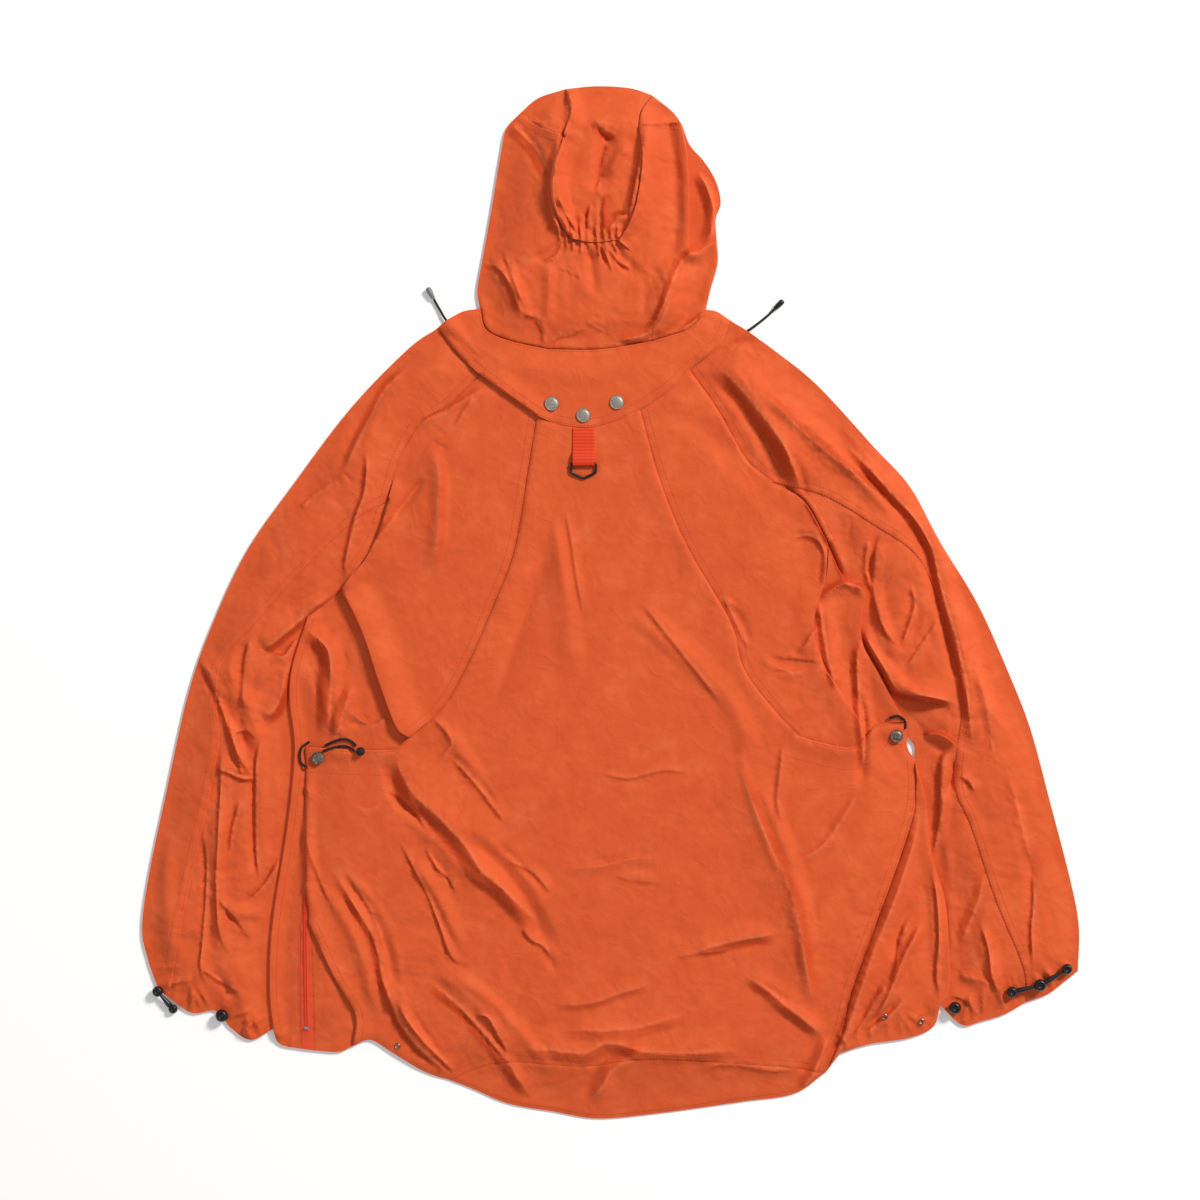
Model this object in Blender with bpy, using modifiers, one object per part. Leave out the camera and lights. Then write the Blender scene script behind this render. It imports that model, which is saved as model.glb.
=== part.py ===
"""Hooded shell jacket, laid flat on its front with the hood up and the back on top.

Every cloth panel is a wall between seams.  The seams are named curves on the lay plan, a
1:1 plan in millimetres whose U runs right from the left edge of the laying table and whose
V runs down it.  A panel is the closed outline of its seams, filled with triangles, lifted by
the folds that cross it and given its thickness.  Neighbours share a seam and stay apart by
SEAM_GAP.  The front panels lie flat on the table and the back panels lie on them.
"""
import math

import bmesh
import bpy
import numpy as np
from mathutils import Matrix, Vector
from mathutils.bvhtree import BVHTree
from mathutils.geometry import delaunay_2d_cdt

MM = 0.001
PLAN_U, PLAN_V = 610.67, 602.5  # the lay plan's point that becomes the origin, the middle of the jacket
SEAM_GAP = 0.3  # between any two pieces that touch
FRONT_WALL = 1.2  # cloth wall of the flat front layer
BACK_WALL = 1.6  # cloth wall of the back layer, measured straight up
BACK_REST = FRONT_WALL + SEAM_GAP  # lowest underside of a back panel over the front
SEAM_STEP = 16.0  # spacing of the points along a seam
STRAIGHT_STEP = 80.0  # the same along the straight edges of the front
CELL = 20.0  # spacing of the points inside a back panel
FLAT_CELL = 90.0  # spacing of the points inside a flat front panel
EDGE_ROLL = 16.0  # width over which the loft falls to the outline of the garment
FRONT_HEM_V = 1045.0  # the front is shorter, and the back's tail lies on the table below it
TAIL_START_V = 1059.0  # where the tail starts to come down to the table
TAIL_DROP = 24.0  # length over which it comes down

# Seams and edges: name: points (U, V) in order, joined by a smooth curve.
SEAMS = {
    # outline of the hood
    "hood_edge_left": [(480, 308), (477, 290), (482, 260), (490, 216), (500, 156), (506, 128), (520, 112)],
    "hood_top_left": [(520, 112), (538, 97), (565, 88)],
    "hood_top": [(565, 88), (596, 85), (630, 87), (652, 94)],
    "hood_top_right": [(652, 94), (672, 110), (682, 123)],
    "brim_edge": [(682, 123), (690, 144), (704, 160), (716, 180), (721, 202), (716, 218), (717, 240)],
    "hood_edge_right": [(717, 240), (718, 262), (711, 288), (706, 309)],
    # outline of the shoulders, sleeves and cuffs
    "yoke_end_left": [(480, 308), (462, 311), (445, 321), (438, 327)],
    "yoke_end_right": [(706, 309), (717, 311), (731, 320)],
    "sleeve_edge_left": [
        (438, 327), (407, 349), (351, 407), (295, 481), (246, 551), (210, 628), (187, 695),
        (165, 794), (148, 875), (141, 930), (148, 965),
    ],
    "sleeve_edge_right": [
        (731, 320), (748, 331), (775, 350), (818, 385), (874, 446), (911, 487), (941, 542), (978, 603),
        (1007, 667), (1031, 728), (1051, 802), (1072, 883), (1080, 928), (1079, 972),
    ],
    "cuff_left_outer": [(148, 965), (157, 988), (168, 999)],
    "cuff_left_inner": [(168, 999), (191, 1014), (215, 1012), (230, 1029), (250, 1041), (272, 1030)],
    "cuff_right_outer": [(1079, 972), (1064, 984), (1049, 995), (1027, 1003)],
    "cuff_right_inner": [(1027, 1003), (1006, 1015), (983, 1022), (963, 1026), (941, 1006)],
    # hem
    "hem_side_left": [(272, 1030), (279, 1045), (301, 1050)],
    "hem_zip_left": [(301, 1050), (313, 1051.5)],
    "hem_gusset_left": [(313, 1051.5), (338, 1053), (352, 1047)],
    "hem_pocket_left": [(352, 1047), (370, 1041), (392, 1054)],
    "hem_tail_left": [(392, 1054), (424, 1073), (451, 1082)],
    "hem_tail": [
        (451, 1082), (474, 1091), (508, 1105), (553, 1113), (599, 1120), (664, 1114), (743, 1103),
        (795, 1095), (826, 1074),
    ],
    "hem_tail_right": [(826, 1074), (841, 1054)],
    "hem_side_right": [(841, 1054), (871, 1045), (909, 1039), (934, 1028), (941, 1006)],
    # neck, yoke, hood
    "neck_left": [(480, 308), (486, 329), (508, 340), (548, 349)],
    "neck_nape": [(548, 349), (600, 349), (652, 341)],
    "neck_right": [(652, 341), (690, 328), (706, 309)],
    "gather": [(572, 240), (595, 243), (618, 240)],
    "yoke_left": [(438, 327), (456, 351), (480, 375)],
    "yoke_side_left": [(480, 375), (506, 394), (537, 416)],
    "yoke_centre": [(537, 416), (559, 424), (590, 427), (620, 419), (640, 410)],
    "yoke_side_right": [(640, 410), (668, 391), (690, 370)],
    "yoke_right": [(690, 370), (719, 345), (731, 320)],
    "crown_left": [(520, 112), (540, 127), (564, 138)],
    "crown_right": [(638, 126), (660, 121), (682, 123)],
    "bulge_left_top": [(565, 88), (570, 110), (564, 138)],
    "bulge_left": [(564, 138), (553, 170), (552, 200), (560, 224), (572, 240)],
    "bulge_right_top": [(652, 94), (641, 110), (638, 126)],
    "bulge_right": [(638, 126), (641, 160), (636, 200), (628, 224), (618, 240)],
    "nape_left": [(572, 240), (552, 264), (547, 300), (548, 349)],
    "nape_right": [(618, 240), (640, 262), (655, 295), (652, 341)],
    "brim_seam": [(682, 123), (688, 156), (690, 210), (691, 250), (717, 240)],
    # back of the body
    "raglan_left": [(480, 375), (450, 405), (421, 423), (400, 459), (388, 500)],
    "raglan_left_low": [(388, 500), (372, 545), (341, 590)],
    "raglan_right": [(690, 370), (719, 411), (746, 458), (774, 483)],
    "raglan_right_low": [(774, 483), (805, 502), (829, 545)],
    "princess_left": [
        (537, 416), (528, 472), (515, 548), (495, 602), (467, 666), (442, 708), (408, 738),
    ],
    "princess_right": [
        (640, 410), (660, 481), (688, 548), (730, 621), (744, 669), (775, 711), (799, 736),
    ],
    "underarm_left": [(341, 590), (362, 633), (378, 681), (395, 726), (408, 738)],
    "underarm_top_left": [(341, 590), (325, 604), (306, 617)],
    "underarm_right": [(829, 545), (826, 580), (814, 625), (826, 668), (852, 706), (866, 736)],
    "underarm_edge_right": [(829, 545), (846, 579), (866, 588), (862, 636), (882, 677), (905, 722)],
    "pocket_left": [(408, 738), (392, 749), (350, 749), (305, 747)],
    "pocket_right": [(799, 736), (816, 741), (850, 747), (866, 736)],
    "pocket_end_right": [(866, 736), (877, 725), (905, 722)],
    "overlay_left": [(305, 747), (305, 820), (306, 890)],
    "overlay_left_zip": [(306, 890), (310, 926)],
    "overlay_left_low": [(310, 926), (332, 974), (354, 1014), (352, 1047)],
    "zip_left": [(306, 890), (301, 925), (300, 985), (301, 1050)],
    "zip_right": [(310, 926), (312, 985), (313, 1051.5)],
    "overlay_right": [(916, 760), (917, 785), (911, 826), (879, 916), (852, 990), (843, 1030), (826, 1074)],
    "hem_seam": [
        (451, 1082), (478, 1069), (513, 1062), (584, 1066), (640, 1059), (720, 1062), (790, 1068), (826, 1074),
    ],
    "body_edge_left": [
        (306, 617), (291, 665), (288, 700), (293, 750), (286, 824), (271, 922), (268, 988), (272, 1030),
    ],
    "body_edge_right_top": [(905, 722), (907, 737)],
    "gap_body": [(907, 737), (909, 750), (916, 760)],
    "gap_sleeve": [(907, 737), (915, 745), (916, 760)],
    "body_edge_right": [(916, 760), (927, 802), (933, 857), (946, 900), (950, 950), (950, 990), (941, 1006)],
    # sleeves
    "sleeve_seam_left": [
        (388, 500), (351, 525), (303, 572), (253, 628), (222, 662), (217, 700), (219, 742),
        (209, 797), (185, 906), (168, 999),
    ],
    "sleeve_seam_right": [
        (774, 483), (823, 496), (874, 526), (914, 554), (936, 592), (952, 645), (962, 697), (956, 750),
        (955, 790), (970, 826), (996, 903), (1022, 966), (1027, 1003),
    ],
    # front layer
    "front_raglan_left": [(438, 327), (404, 430), (372, 520), (341, 590)],
    "front_raglan_right": [(731, 320), (764, 400), (800, 480), (829, 545)],
    "front_neck_left": [(480, 308), (500, 332), (548, 345), (596, 349)],
    "front_neck_zip": [(596, 349), (622, 347)],
    "front_neck_right": [(622, 347), (664, 338), (690, 326), (706, 309)],
    "front_zip_left": [(596, 349), (596, 700), (596, FRONT_HEM_V)],
    "front_zip_right": [(622, 347), (622, 700), (622, FRONT_HEM_V)],
    "front_hem_left": [(392, 1054), (480, FRONT_HEM_V), (596, FRONT_HEM_V)],
    "front_hem_zip": [(596, FRONT_HEM_V), (622, FRONT_HEM_V)],
    "front_hem_right": [(622, FRONT_HEM_V), (750, FRONT_HEM_V), (841, 1054)],
}

# Panels: name, cloth group, height of its edge over the layer below, seams in order round it.
# A minus sign runs a seam backwards.
PANELS = [
    ("hood_left", "hood", 0.0, "hood_edge_left crown_left bulge_left nape_left -neck_left"),
    ("hood_crown_left", "hood", 0.0, "hood_top_left bulge_left_top -crown_left"),
    ("hood_centre", "hood", 1.5, "hood_top bulge_right_top bulge_right -gather -bulge_left -bulge_left_top"),
    ("hood_nape", "hood", 0.0, "gather nape_right -neck_nape -nape_left"),
    ("hood_crown_right", "hood", 0.0, "hood_top_right -crown_right -bulge_right_top"),
    ("hood_right", "hood", 0.0, "crown_right brim_seam hood_edge_right -neck_right -nape_right -bulge_right"),
    ("hood_brim", "brim", 0.0, "brim_edge -brim_seam"),
    ("yoke", "body", 2.4, "yoke_end_left yoke_left yoke_side_left yoke_centre yoke_side_right yoke_right"
        " -yoke_end_right -neck_right -neck_nape -neck_left"),
    ("back_side_left", "body", 0.8, "yoke_side_left princess_left -underarm_left -raglan_left_low -raglan_left"),
    ("back_centre", "body", 1.6, "yoke_centre princess_right pocket_right pocket_end_right body_edge_right_top gap_body"
        " overlay_right -hem_seam"
        " -hem_tail_left -hem_pocket_left -overlay_left_low -overlay_left_zip -overlay_left -pocket_left -princess_left"),
    ("back_side_right", "body", 0.8, "yoke_side_right raglan_right raglan_right_low underarm_right -pocket_right"
        " -princess_right"),
    ("underarm_panel_right", "body", 0.0, "underarm_edge_right -pocket_end_right -underarm_right"),
    ("side_left", "body", 0.0, "underarm_left pocket_left overlay_left zip_left -hem_side_left -body_edge_left"
        " -underarm_top_left"),
    ("side_zip_tape", "body", 0.6, "overlay_left_zip zip_right -hem_zip_left -zip_left"),
    ("side_gusset_left", "body", 0.0, "overlay_left_low -hem_gusset_left -zip_right"),
    ("side_right", "body", 0.0, "body_edge_right -hem_side_right -hem_tail_right"
        " -overlay_right"),
    ("hem_band", "body", 1.0, "hem_seam -hem_tail"),
    ("sleeve_left_outer", "sleeve_left", 0.0, "yoke_left raglan_left sleeve_seam_left -cuff_left_outer"
        " -sleeve_edge_left"),
    ("sleeve_left_inner", "sleeve_left", 0.0, "raglan_left_low underarm_top_left body_edge_left -cuff_left_inner"
        " -sleeve_seam_left"),
    ("sleeve_right_outer", "sleeve_right", 0.0, "sleeve_edge_right cuff_right_outer -sleeve_seam_right"
        " -raglan_right yoke_right"),
    ("sleeve_right_inner", "sleeve_right", 0.0, "sleeve_seam_right cuff_right_inner -body_edge_right -gap_sleeve"
        " -body_edge_right_top -underarm_edge_right -raglan_right_low"),
]

# Front panels, flat on the table: name, seams in order round it.
FRONT_PANELS = [
    ("hood_front", "hood_edge_left hood_top_left hood_top hood_top_right brim_edge hood_edge_right"
        " -front_neck_right -front_neck_zip -front_neck_left"),
    ("front_left", "front_neck_left front_zip_left -front_hem_left -hem_pocket_left -hem_gusset_left"
        " -hem_zip_left -hem_side_left -body_edge_left"
        " -underarm_top_left -front_raglan_left -yoke_end_left"),
    ("front_zip_strip", "front_neck_zip front_zip_right -front_hem_zip -front_zip_left"),
    ("front_right", "front_neck_right yoke_end_right front_raglan_right underarm_edge_right body_edge_right_top"
        " gap_body body_edge_right -hem_side_right -front_hem_right -front_zip_right"),
    ("sleeve_left_front", "front_raglan_left underarm_top_left body_edge_left -cuff_left_inner -cuff_left_outer"
        " -sleeve_edge_left"),
    ("sleeve_right_front", "sleeve_edge_right cuff_right_outer cuff_right_inner -body_edge_right -gap_sleeve"
        " -body_edge_right_top -underarm_edge_right -front_raglan_right"),
]

# Loft of each cloth group: height of the trapped air and slack, and the width it rises over.
LOFT = {"hood": (11.0, 45.0), "brim": (1.0, 20.0), "body": (7.5, 60.0), "sleeve_left": (8.0, 38.0),
        "sleeve_right": (8.0, 38.0)}

# Folds: cloth group, start, bend and end on the lay plan, height (a trough is negative), and the
# half width on the left and on the right of the line, looking from its start to its end.
FOLDS = [
    # hood: the pushed-out centre between its gathers, and the creases that fan from them
    ("hood", (572, 100), (556, 170), (578, 236), 9, 9, 26),
    ("hood", (648, 104), (640, 170), (622, 236), 8, 24, 8),
    ("hood", (612, 120), (603, 160), (598, 196), -8, 12, 12),
    ("hood", (630, 140), (618, 160), (603, 180), 5, 8, 8),
    ("hood", (572, 244), (552, 254), (530, 262), -4, 7, 7),
    ("hood", (590, 246), (592, 270), (596, 300), -4, 8, 8),
    ("hood", (612, 246), (626, 262), (640, 276), -4, 7, 7),
    ("hood", (514, 124), (540, 150), (550, 190), -6, 16, 16),
    ("hood", (486, 262), (508, 282), (526, 322), 5, 9, 12),
    ("hood", (548, 262), (549, 290), (546, 330), 4, 8, 8),
    ("hood", (678, 130), (686, 190), (688, 246), 6, 14, 6),
    ("hood", (708, 246), (676, 262), (656, 322), 7, 8, 14),
    ("hood", (700, 300), (676, 330), (640, 344), -5, 8, 10),
    ("brim", (706, 170), (712, 200), (706, 232), 4, 8, 8),
    # yoke and shoulders
    ("body", (500, 356), (560, 372), (600, 366), 2, 18, 18),
    ("body", (649, 408), (716, 440), (772, 506), -3, 18, 16),
    ("sleeve_left", (415, 363), (372, 404), (346, 465), -5, 14, 14),
    ("sleeve_left", (436, 440), (440, 500), (431, 572), 5, 12, 12),
    ("body", (431, 441), (441, 500), (431, 572), 5, 10, 12),
    ("body", (424, 480), (408, 500), (389, 524), -4, 7, 7),
    # back centre
    ("body", (553, 512), (566, 600), (576, 694), 4, 14, 20),
    ("body", (553, 529), (524, 620), (488, 716), -3, 16, 16),
    ("body", (627, 610), (722, 690), (748, 775), 4, 16, 14),
    ("body", (744, 760), (794, 880), (812, 1010), 6, 14, 12),
    ("body", (725, 602), (742, 624), (747, 649), -5, 7, 10),
    ("body", (767, 660), (792, 664), (820, 663), -3, 7, 7),
    ("body", (442, 716), (462, 752), (487, 790), 5, 12, 14),
    ("body", (392, 758), (404, 800), (452, 835), -9, 13, 12),
    ("body", (446, 830), (512, 880), (553, 966), -9, 13, 12),
    ("body", (400, 776), (430, 832), (500, 900), 5, 8, 14),
    ("body", (409, 857), (440, 900), (462, 964), 5, 12, 10),
    ("body", (332, 868), (380, 930), (392, 1002), -9, 9, 12),
    ("body", (388, 990), (404, 1040), (440, 1070), -7, 12, 14),
    ("body", (318, 880), (360, 950), (376, 1030), 5, 9, 10),
    ("body", (426, 978), (470, 1014), (547, 1095), -8, 12, 12),
    ("body", (444, 972), (500, 1010), (566, 1090), 5, 10, 12),
    ("body", (694, 950), (735, 945), (776, 936), -3, 8, 8),
    ("body", (584, 1050), (640, 1024), (694, 1011), -2, 10, 10),
    ("body", (581, 1100), (606, 1070), (648, 1044), -4, 8, 8),
    ("body", (759, 1001), (795, 1012), (823, 1037), 4, 9, 9),
    ("body", (802, 1078), (820, 1060), (858, 1038), -4, 8, 8),
    ("body", (800, 980), (826, 900), (860, 850), 3, 14, 14),
    # right side and pocket
    ("body", (851, 680), (864, 730), (858, 796), -7, 7, 9),
    ("body", (846, 590), (868, 600), (860, 636), 5, 8, 8),
    ("body", (922, 898), (898, 930), (897, 961), -5, 7, 7),
    ("body", (927, 921), (896, 970), (866, 1030), 6, 9, 9),
    ("body", (902, 999), (876, 1020), (849, 1045), -5, 7, 7),
    ("body", (930, 870), (936, 920), (936, 980), 5, 7, 8),
    # left side
    ("body", (372, 560), (330, 600), (310, 622), 5, 12, 12),
    ("body", (300, 640), (312, 656), (330, 664), -6, 12, 12),
    ("body", (327, 665), (330, 701), (327, 745), -6, 7, 7),
    ("body", (357, 685), (341, 706), (336, 739), 4, 8, 8),
    ("body", (310, 800), (308, 860), (310, 916), 3, 7, 8),
    # left sleeve
    ("sleeve_left", (386, 532), (330, 600), (262, 650), 8, 13, 15),
    ("sleeve_left", (351, 480), (327, 488), (301, 505), -4, 9, 9),
    ("sleeve_left", (199, 660), (230, 716), (254, 776), -9, 12, 10),
    ("sleeve_left", (216, 652), (248, 706), (262, 760), 6, 10, 12),
    ("sleeve_left", (258, 745), (254, 820), (260, 884), -7, 9, 9),
    ("sleeve_left", (275, 865), (262, 892), (238, 904), -6, 9, 9),
    ("sleeve_left", (204, 835), (210, 900), (203, 980), -6, 9, 9),
    ("sleeve_left", (224, 786), (216, 880), (230, 960), 6, 9, 11),
    ("sleeve_left", (242, 802), (232, 830), (234, 862), -5, 8, 8),
    ("sleeve_left", (220, 898), (248, 914), (270, 902), 5, 9, 9),
    ("sleeve_left", (244, 636), (240, 670), (244, 704), -4, 9, 9),
    ("sleeve_left", (300, 638), (279, 663), (252, 688), 6, 9, 10),
    ("sleeve_left", (172, 830), (166, 900), (178, 980), 4, 12, 12),
    ("sleeve_left", (205, 968), (222, 982), (236, 1010), -5, 9, 9),
    # right sleeve
    ("sleeve_right", (712, 362), (756, 420), (790, 490), -9, 10, 14),
    ("sleeve_right", (751, 387), (830, 446), (905, 520), 7, 14, 12),
    ("sleeve_right", (829, 422), (870, 480), (915, 520), -9, 12, 9),
    ("sleeve_right", (915, 520), (940, 600), (962, 697), -9, 12, 9),
    ("sleeve_right", (844, 430), (920, 490), (962, 610), 6, 10, 12),
    ("sleeve_right", (884, 534), (870, 560), (876, 592), -6, 8, 8),
    ("sleeve_right", (877, 577), (884, 630), (906, 664), 6, 9, 10),
    ("sleeve_right", (911, 585), (916, 620), (900, 646), -5, 8, 8),
    ("sleeve_right", (863, 636), (884, 690), (950, 706), -9, 10, 11),
    ("sleeve_right", (879, 652), (906, 688), (962, 701), 6, 9, 9),
    ("sleeve_right", (908, 724), (930, 742), (956, 748), -8, 9, 9),
    ("sleeve_right", (944, 756), (944, 800), (936, 846), 6, 8, 8),
    ("sleeve_right", (956, 751), (952, 780), (940, 800), -5, 7, 7),
    ("sleeve_right", (974, 662), (982, 690), (1000, 740), 5, 12, 12),
    ("sleeve_right", (1006, 764), (1030, 850), (1034, 965), -4, 12, 12),
    ("sleeve_right", (984, 875), (976, 910), (962, 942), -5, 9, 9),
    ("sleeve_right", (980, 926), (988, 960), (1002, 1000), 4, 9, 9),
    ("sleeve_right", (951, 830), (947, 870), (956, 930), 4, 9, 9),
]
FOLD_STEP = 13.0  # spacing of the points set along a fold's line
FOLD_CLEAR = 8.5  # nearest that a plain inner point comes to a fold's points

# Raised tunnels over the hood's drawcords, from the neck to the shoulder edge, which keep their
# height right to the edge: all groups, start, bend, end, height, half widths.
TUNNELS = [
    ("all", (482, 357), (463, 338), (443.5, 319), 5.2, 13, 13),
    ("all", (698, 356), (724, 343), (752, 329), 5.2, 13, 13),
]


def place(u, v, z):
    """A point of the lay plan at height z, in metres."""
    return Vector(((u - PLAN_U) * MM, (PLAN_V - v) * MM, z * MM))


def smooth(t):
    """Ease from 0 to 1."""
    t = np.clip(t, 0.0, 1.0)
    return t * t * (3.0 - 2.0 * t)


def curve_points(knots, step):
    """Points about step apart on a smooth curve through the knots, both ends kept."""
    knots = [np.array(k, float) for k in knots]
    padded = [2 * knots[0] - knots[1]] + knots + [2 * knots[-1] - knots[-2]]
    points = []
    for a, b, c, d in zip(padded, padded[1:], padded[2:], padded[3:]):
        pieces = max(1, round(float(np.linalg.norm(c - b)) / step))
        for i in range(pieces):
            t = i / pieces
            points.append(0.5 * (2 * b + (c - a) * t + (2 * a - 5 * b + 4 * c - d) * t**2
                                 + (3 * b - a - 3 * c + d) * t**3))
    return points + [knots[-1]]


def seam_points(name):
    """The points along a seam or an edge."""
    straight = name.startswith(("front_zip", "front_hem"))
    return curve_points(SEAMS[name], STRAIGHT_STEP if straight else SEAM_STEP)


def outline(seam_list):
    """The closed outline of a panel from its seams in order, a minus sign running one backwards."""
    loop = []
    for name in seam_list.split():
        points = seam_points(name.lstrip("-"))
        if name.startswith("-"):
            points.reverse()
        loop += points[:-1]
    return np.array(loop)


def pull_in(loop, distance):
    """Move a closed outline inwards by distance."""
    before, after = np.roll(loop, 1, axis=0), np.roll(loop, -1, axis=0)
    area = 0.5 * np.sum(before[:, 0] * loop[:, 1] - loop[:, 0] * before[:, 1])
    turn = math.copysign(1.0, area)
    into, out = loop - before, after - loop
    into /= np.linalg.norm(into, axis=1)[:, None]
    out /= np.linalg.norm(out, axis=1)[:, None]
    normal_in = np.stack([-into[:, 1], into[:, 0]], 1) * turn
    normal_out = np.stack([-out[:, 1], out[:, 0]], 1) * turn
    mitre = normal_in + normal_out
    mitre /= np.linalg.norm(mitre, axis=1)[:, None]
    reach = np.maximum(0.35, np.sum(mitre * normal_in, axis=1))
    return loop + mitre * (distance / reach)[:, None]


def edge_distance(points, loop):
    """Distance from each point to a closed outline."""
    start, end = loop, np.roll(loop, -1, axis=0)
    run = end - start
    length2 = np.maximum(np.sum(run * run, axis=1), 1e-12)
    best = np.full(len(points), 1e9)
    for s, r, l2 in zip(start, run, length2):
        t = np.clip(((points - s) @ r) / l2, 0.0, 1.0)
        best = np.minimum(best, np.linalg.norm(points - s - t[:, None] * r, axis=1))
    return best


def inside(points, loop):
    """Which points lie inside a closed outline."""
    x, y = points[:, 0], points[:, 1]
    hit = np.zeros(len(points), bool)
    for (ax, ay), (bx, by) in zip(loop, np.roll(loop, -1, axis=0)):
        if ay == by:
            continue
        crosses = (ay > y) != (by > y)
        hit ^= crosses & (x < (bx - ax) * (y - ay) / (by - ay) + ax)
    return hit


def bend_points(start, bend, end, count):
    """Points on a fold's line, which leaves start towards bend and comes to end."""
    t = np.linspace(0.0, 1.0, count)[:, None]
    start, bend, end = np.array(start, float), np.array(bend, float), np.array(end, float)
    middle = 2 * bend - 0.5 * (start + end)
    return (1 - t) ** 2 * start + 2 * t * (1 - t) * middle + t**2 * end


def fold_height(points, row, taper=0.28):
    """Lift that one fold gives each point: a rounded ridge or trough that runs out at its ends."""
    _, start, bend, end, height, left, right = row
    line = bend_points(start, bend, end, 13)
    best = np.full(len(points), 1e9)
    side = np.zeros(len(points))
    along = np.zeros(len(points))
    for k, (a, b) in enumerate(zip(line, line[1:])):
        run = b - a
        t = np.clip(((points - a) @ run) / (run @ run), 0.0, 1.0)
        offset = points - a - t[:, None] * run
        distance = np.linalg.norm(offset, axis=1)
        nearer = distance < best
        best = np.where(nearer, distance, best)
        cross = run[0] * offset[:, 1] - run[1] * offset[:, 0]
        side = np.where(nearer, cross, side)
        along = np.where(nearer, (k + t) / (len(line) - 1), along)
    width = np.where(side > 0, right, left)
    profile = 0.5 + 0.5 * np.cos(np.pi * np.clip(best / width, 0.0, 1.0))
    if taper:
        profile = profile * smooth(along / taper) * smooth((1.0 - along) / taper)
    return height * profile


GROUP_OUTLINES = {
    "hood": "hood_edge_left hood_top_left hood_top hood_top_right brim_seam hood_edge_right -neck_right -neck_nape"
        " -neck_left",
    "brim": "brim_edge -brim_seam",
    "body": "yoke_end_left yoke_left raglan_left raglan_left_low underarm_top_left body_edge_left hem_side_left"
        " hem_zip_left hem_gusset_left hem_pocket_left hem_tail_left hem_tail hem_tail_right hem_side_right -body_edge_right -gap_body"
        " -body_edge_right_top -underarm_edge_right -raglan_right_low -raglan_right yoke_right -yoke_end_right"
        " -neck_right -neck_nape -neck_left",
    "sleeve_left": "yoke_left raglan_left raglan_left_low underarm_top_left body_edge_left -cuff_left_inner"
        " -cuff_left_outer -sleeve_edge_left",
    "sleeve_right": "sleeve_edge_right cuff_right_outer cuff_right_inner -body_edge_right -gap_sleeve"
        " -body_edge_right_top -underarm_edge_right -raglan_right_low -raglan_right yoke_right",
}
# Where two groups meet on a sewn seam, the cloth runs on level, so the loft doesn't fall there.
LEVEL_SEAMS = ["neck_left", "neck_nape", "neck_right", "yoke_left", "yoke_right", "raglan_left", "raglan_left_low",
               "raglan_right", "raglan_right_low"]
LEVEL_LOFT = 3.0  # loft on a sewn seam between two groups
LEVEL_WIDTH = 30.0


def rest_height(points):
    """The lowest underside a back panel may have: over the front, or on the table at the tail."""
    return BACK_REST * smooth((TAIL_START_V + TAIL_DROP - points[:, 1]) / TAIL_DROP)


def open_edges(group):
    """The stretches of a group's outline where its cloth comes down to the layer below."""
    stretches = []
    for name in GROUP_OUTLINES[group].split():
        if name.lstrip("-") not in LEVEL_SEAMS:
            stretches.append(np.array(seam_points(name.lstrip("-"))))
    return stretches


def stretch_distance(points, stretches):
    """Distance from each point to the nearest of some open lines."""
    best = np.full(len(points), 1e9)
    for line in stretches:
        for a, b in zip(line, line[1:]):
            run = b - a
            t = np.clip(((points - a) @ run) / max(run @ run, 1e-9), 0.0, 1.0)
            best = np.minimum(best, np.linalg.norm(points - a - t[:, None] * run, axis=1))
    return best


def underside(points, group, edge_lift):
    """Height of the underside of a back panel at each point of the lay plan."""
    points = np.asarray(points, float)
    loft, width = LOFT[group]
    to_open = stretch_distance(points, open_edges(group))
    to_seam = stretch_distance(points, [np.array(seam_points(s)) for s in LEVEL_SEAMS])
    rise = loft * smooth(to_open / width)
    rise = LEVEL_LOFT * smooth(to_open / 25.0) + (rise - LEVEL_LOFT * smooth(to_open / 25.0)) * smooth(
        to_seam / LEVEL_WIDTH)
    folds = np.zeros(len(points))
    for row in FOLDS:
        if row[0] == group:
            folds += fold_height(points, row)
    lift = rise + folds * smooth(to_open / EDGE_ROLL)
    for row in TUNNELS:
        lift = np.maximum(lift, fold_height(points, row, taper=0.0))
    return rest_height(points) + edge_lift * smooth(to_open / 6.0) + np.maximum(lift, 0.0)


def inner_points(loop, cell, group):
    """Points inside an outline: along its folds' lines, then an even triangular grid."""
    kept = np.zeros((0, 2))
    for row in FOLDS + TUNNELS:
        if row[0] not in (group, "all") or group == "front":
            continue
        _, start, bend, end, _, left, right = row
        run = np.linalg.norm(np.array(end, float) - np.array(start, float))
        line = bend_points(start, bend, end, max(3, round(run / FOLD_STEP)))
        ahead = np.gradient(line, axis=0)
        ahead /= np.linalg.norm(ahead, axis=1)[:, None]
        across = np.stack([-ahead[:, 1], ahead[:, 0]], 1)
        for offset in (0.0, -left, right):
            kept = add_apart(kept, line + across * offset, FOLD_CLEAR)
    kept = kept[inside(kept, loop)] if len(kept) else kept
    if len(kept):
        kept = kept[edge_distance(kept, loop) > 0.38 * cell]
    low, high = loop.min(0), loop.max(0)
    rows = np.arange(low[1], high[1], cell * 0.866)
    grid = [(u, v) for k, v in enumerate(rows) for u in np.arange(low[0] + (k % 2) * cell / 2, high[0], cell)]
    grid = np.array(grid)
    grid = grid[inside(grid, loop)]
    grid = grid[edge_distance(grid, loop) > 0.5 * cell]
    return add_apart(kept, grid, 0.62 * cell)


def add_apart(kept, new, distance):
    """Add the points that stay distance away from those already kept."""
    for point in new:
        if not len(kept) or np.min(np.linalg.norm(kept - point, axis=1)) > distance:
            kept = np.vstack([kept, point])
    return kept


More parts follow.
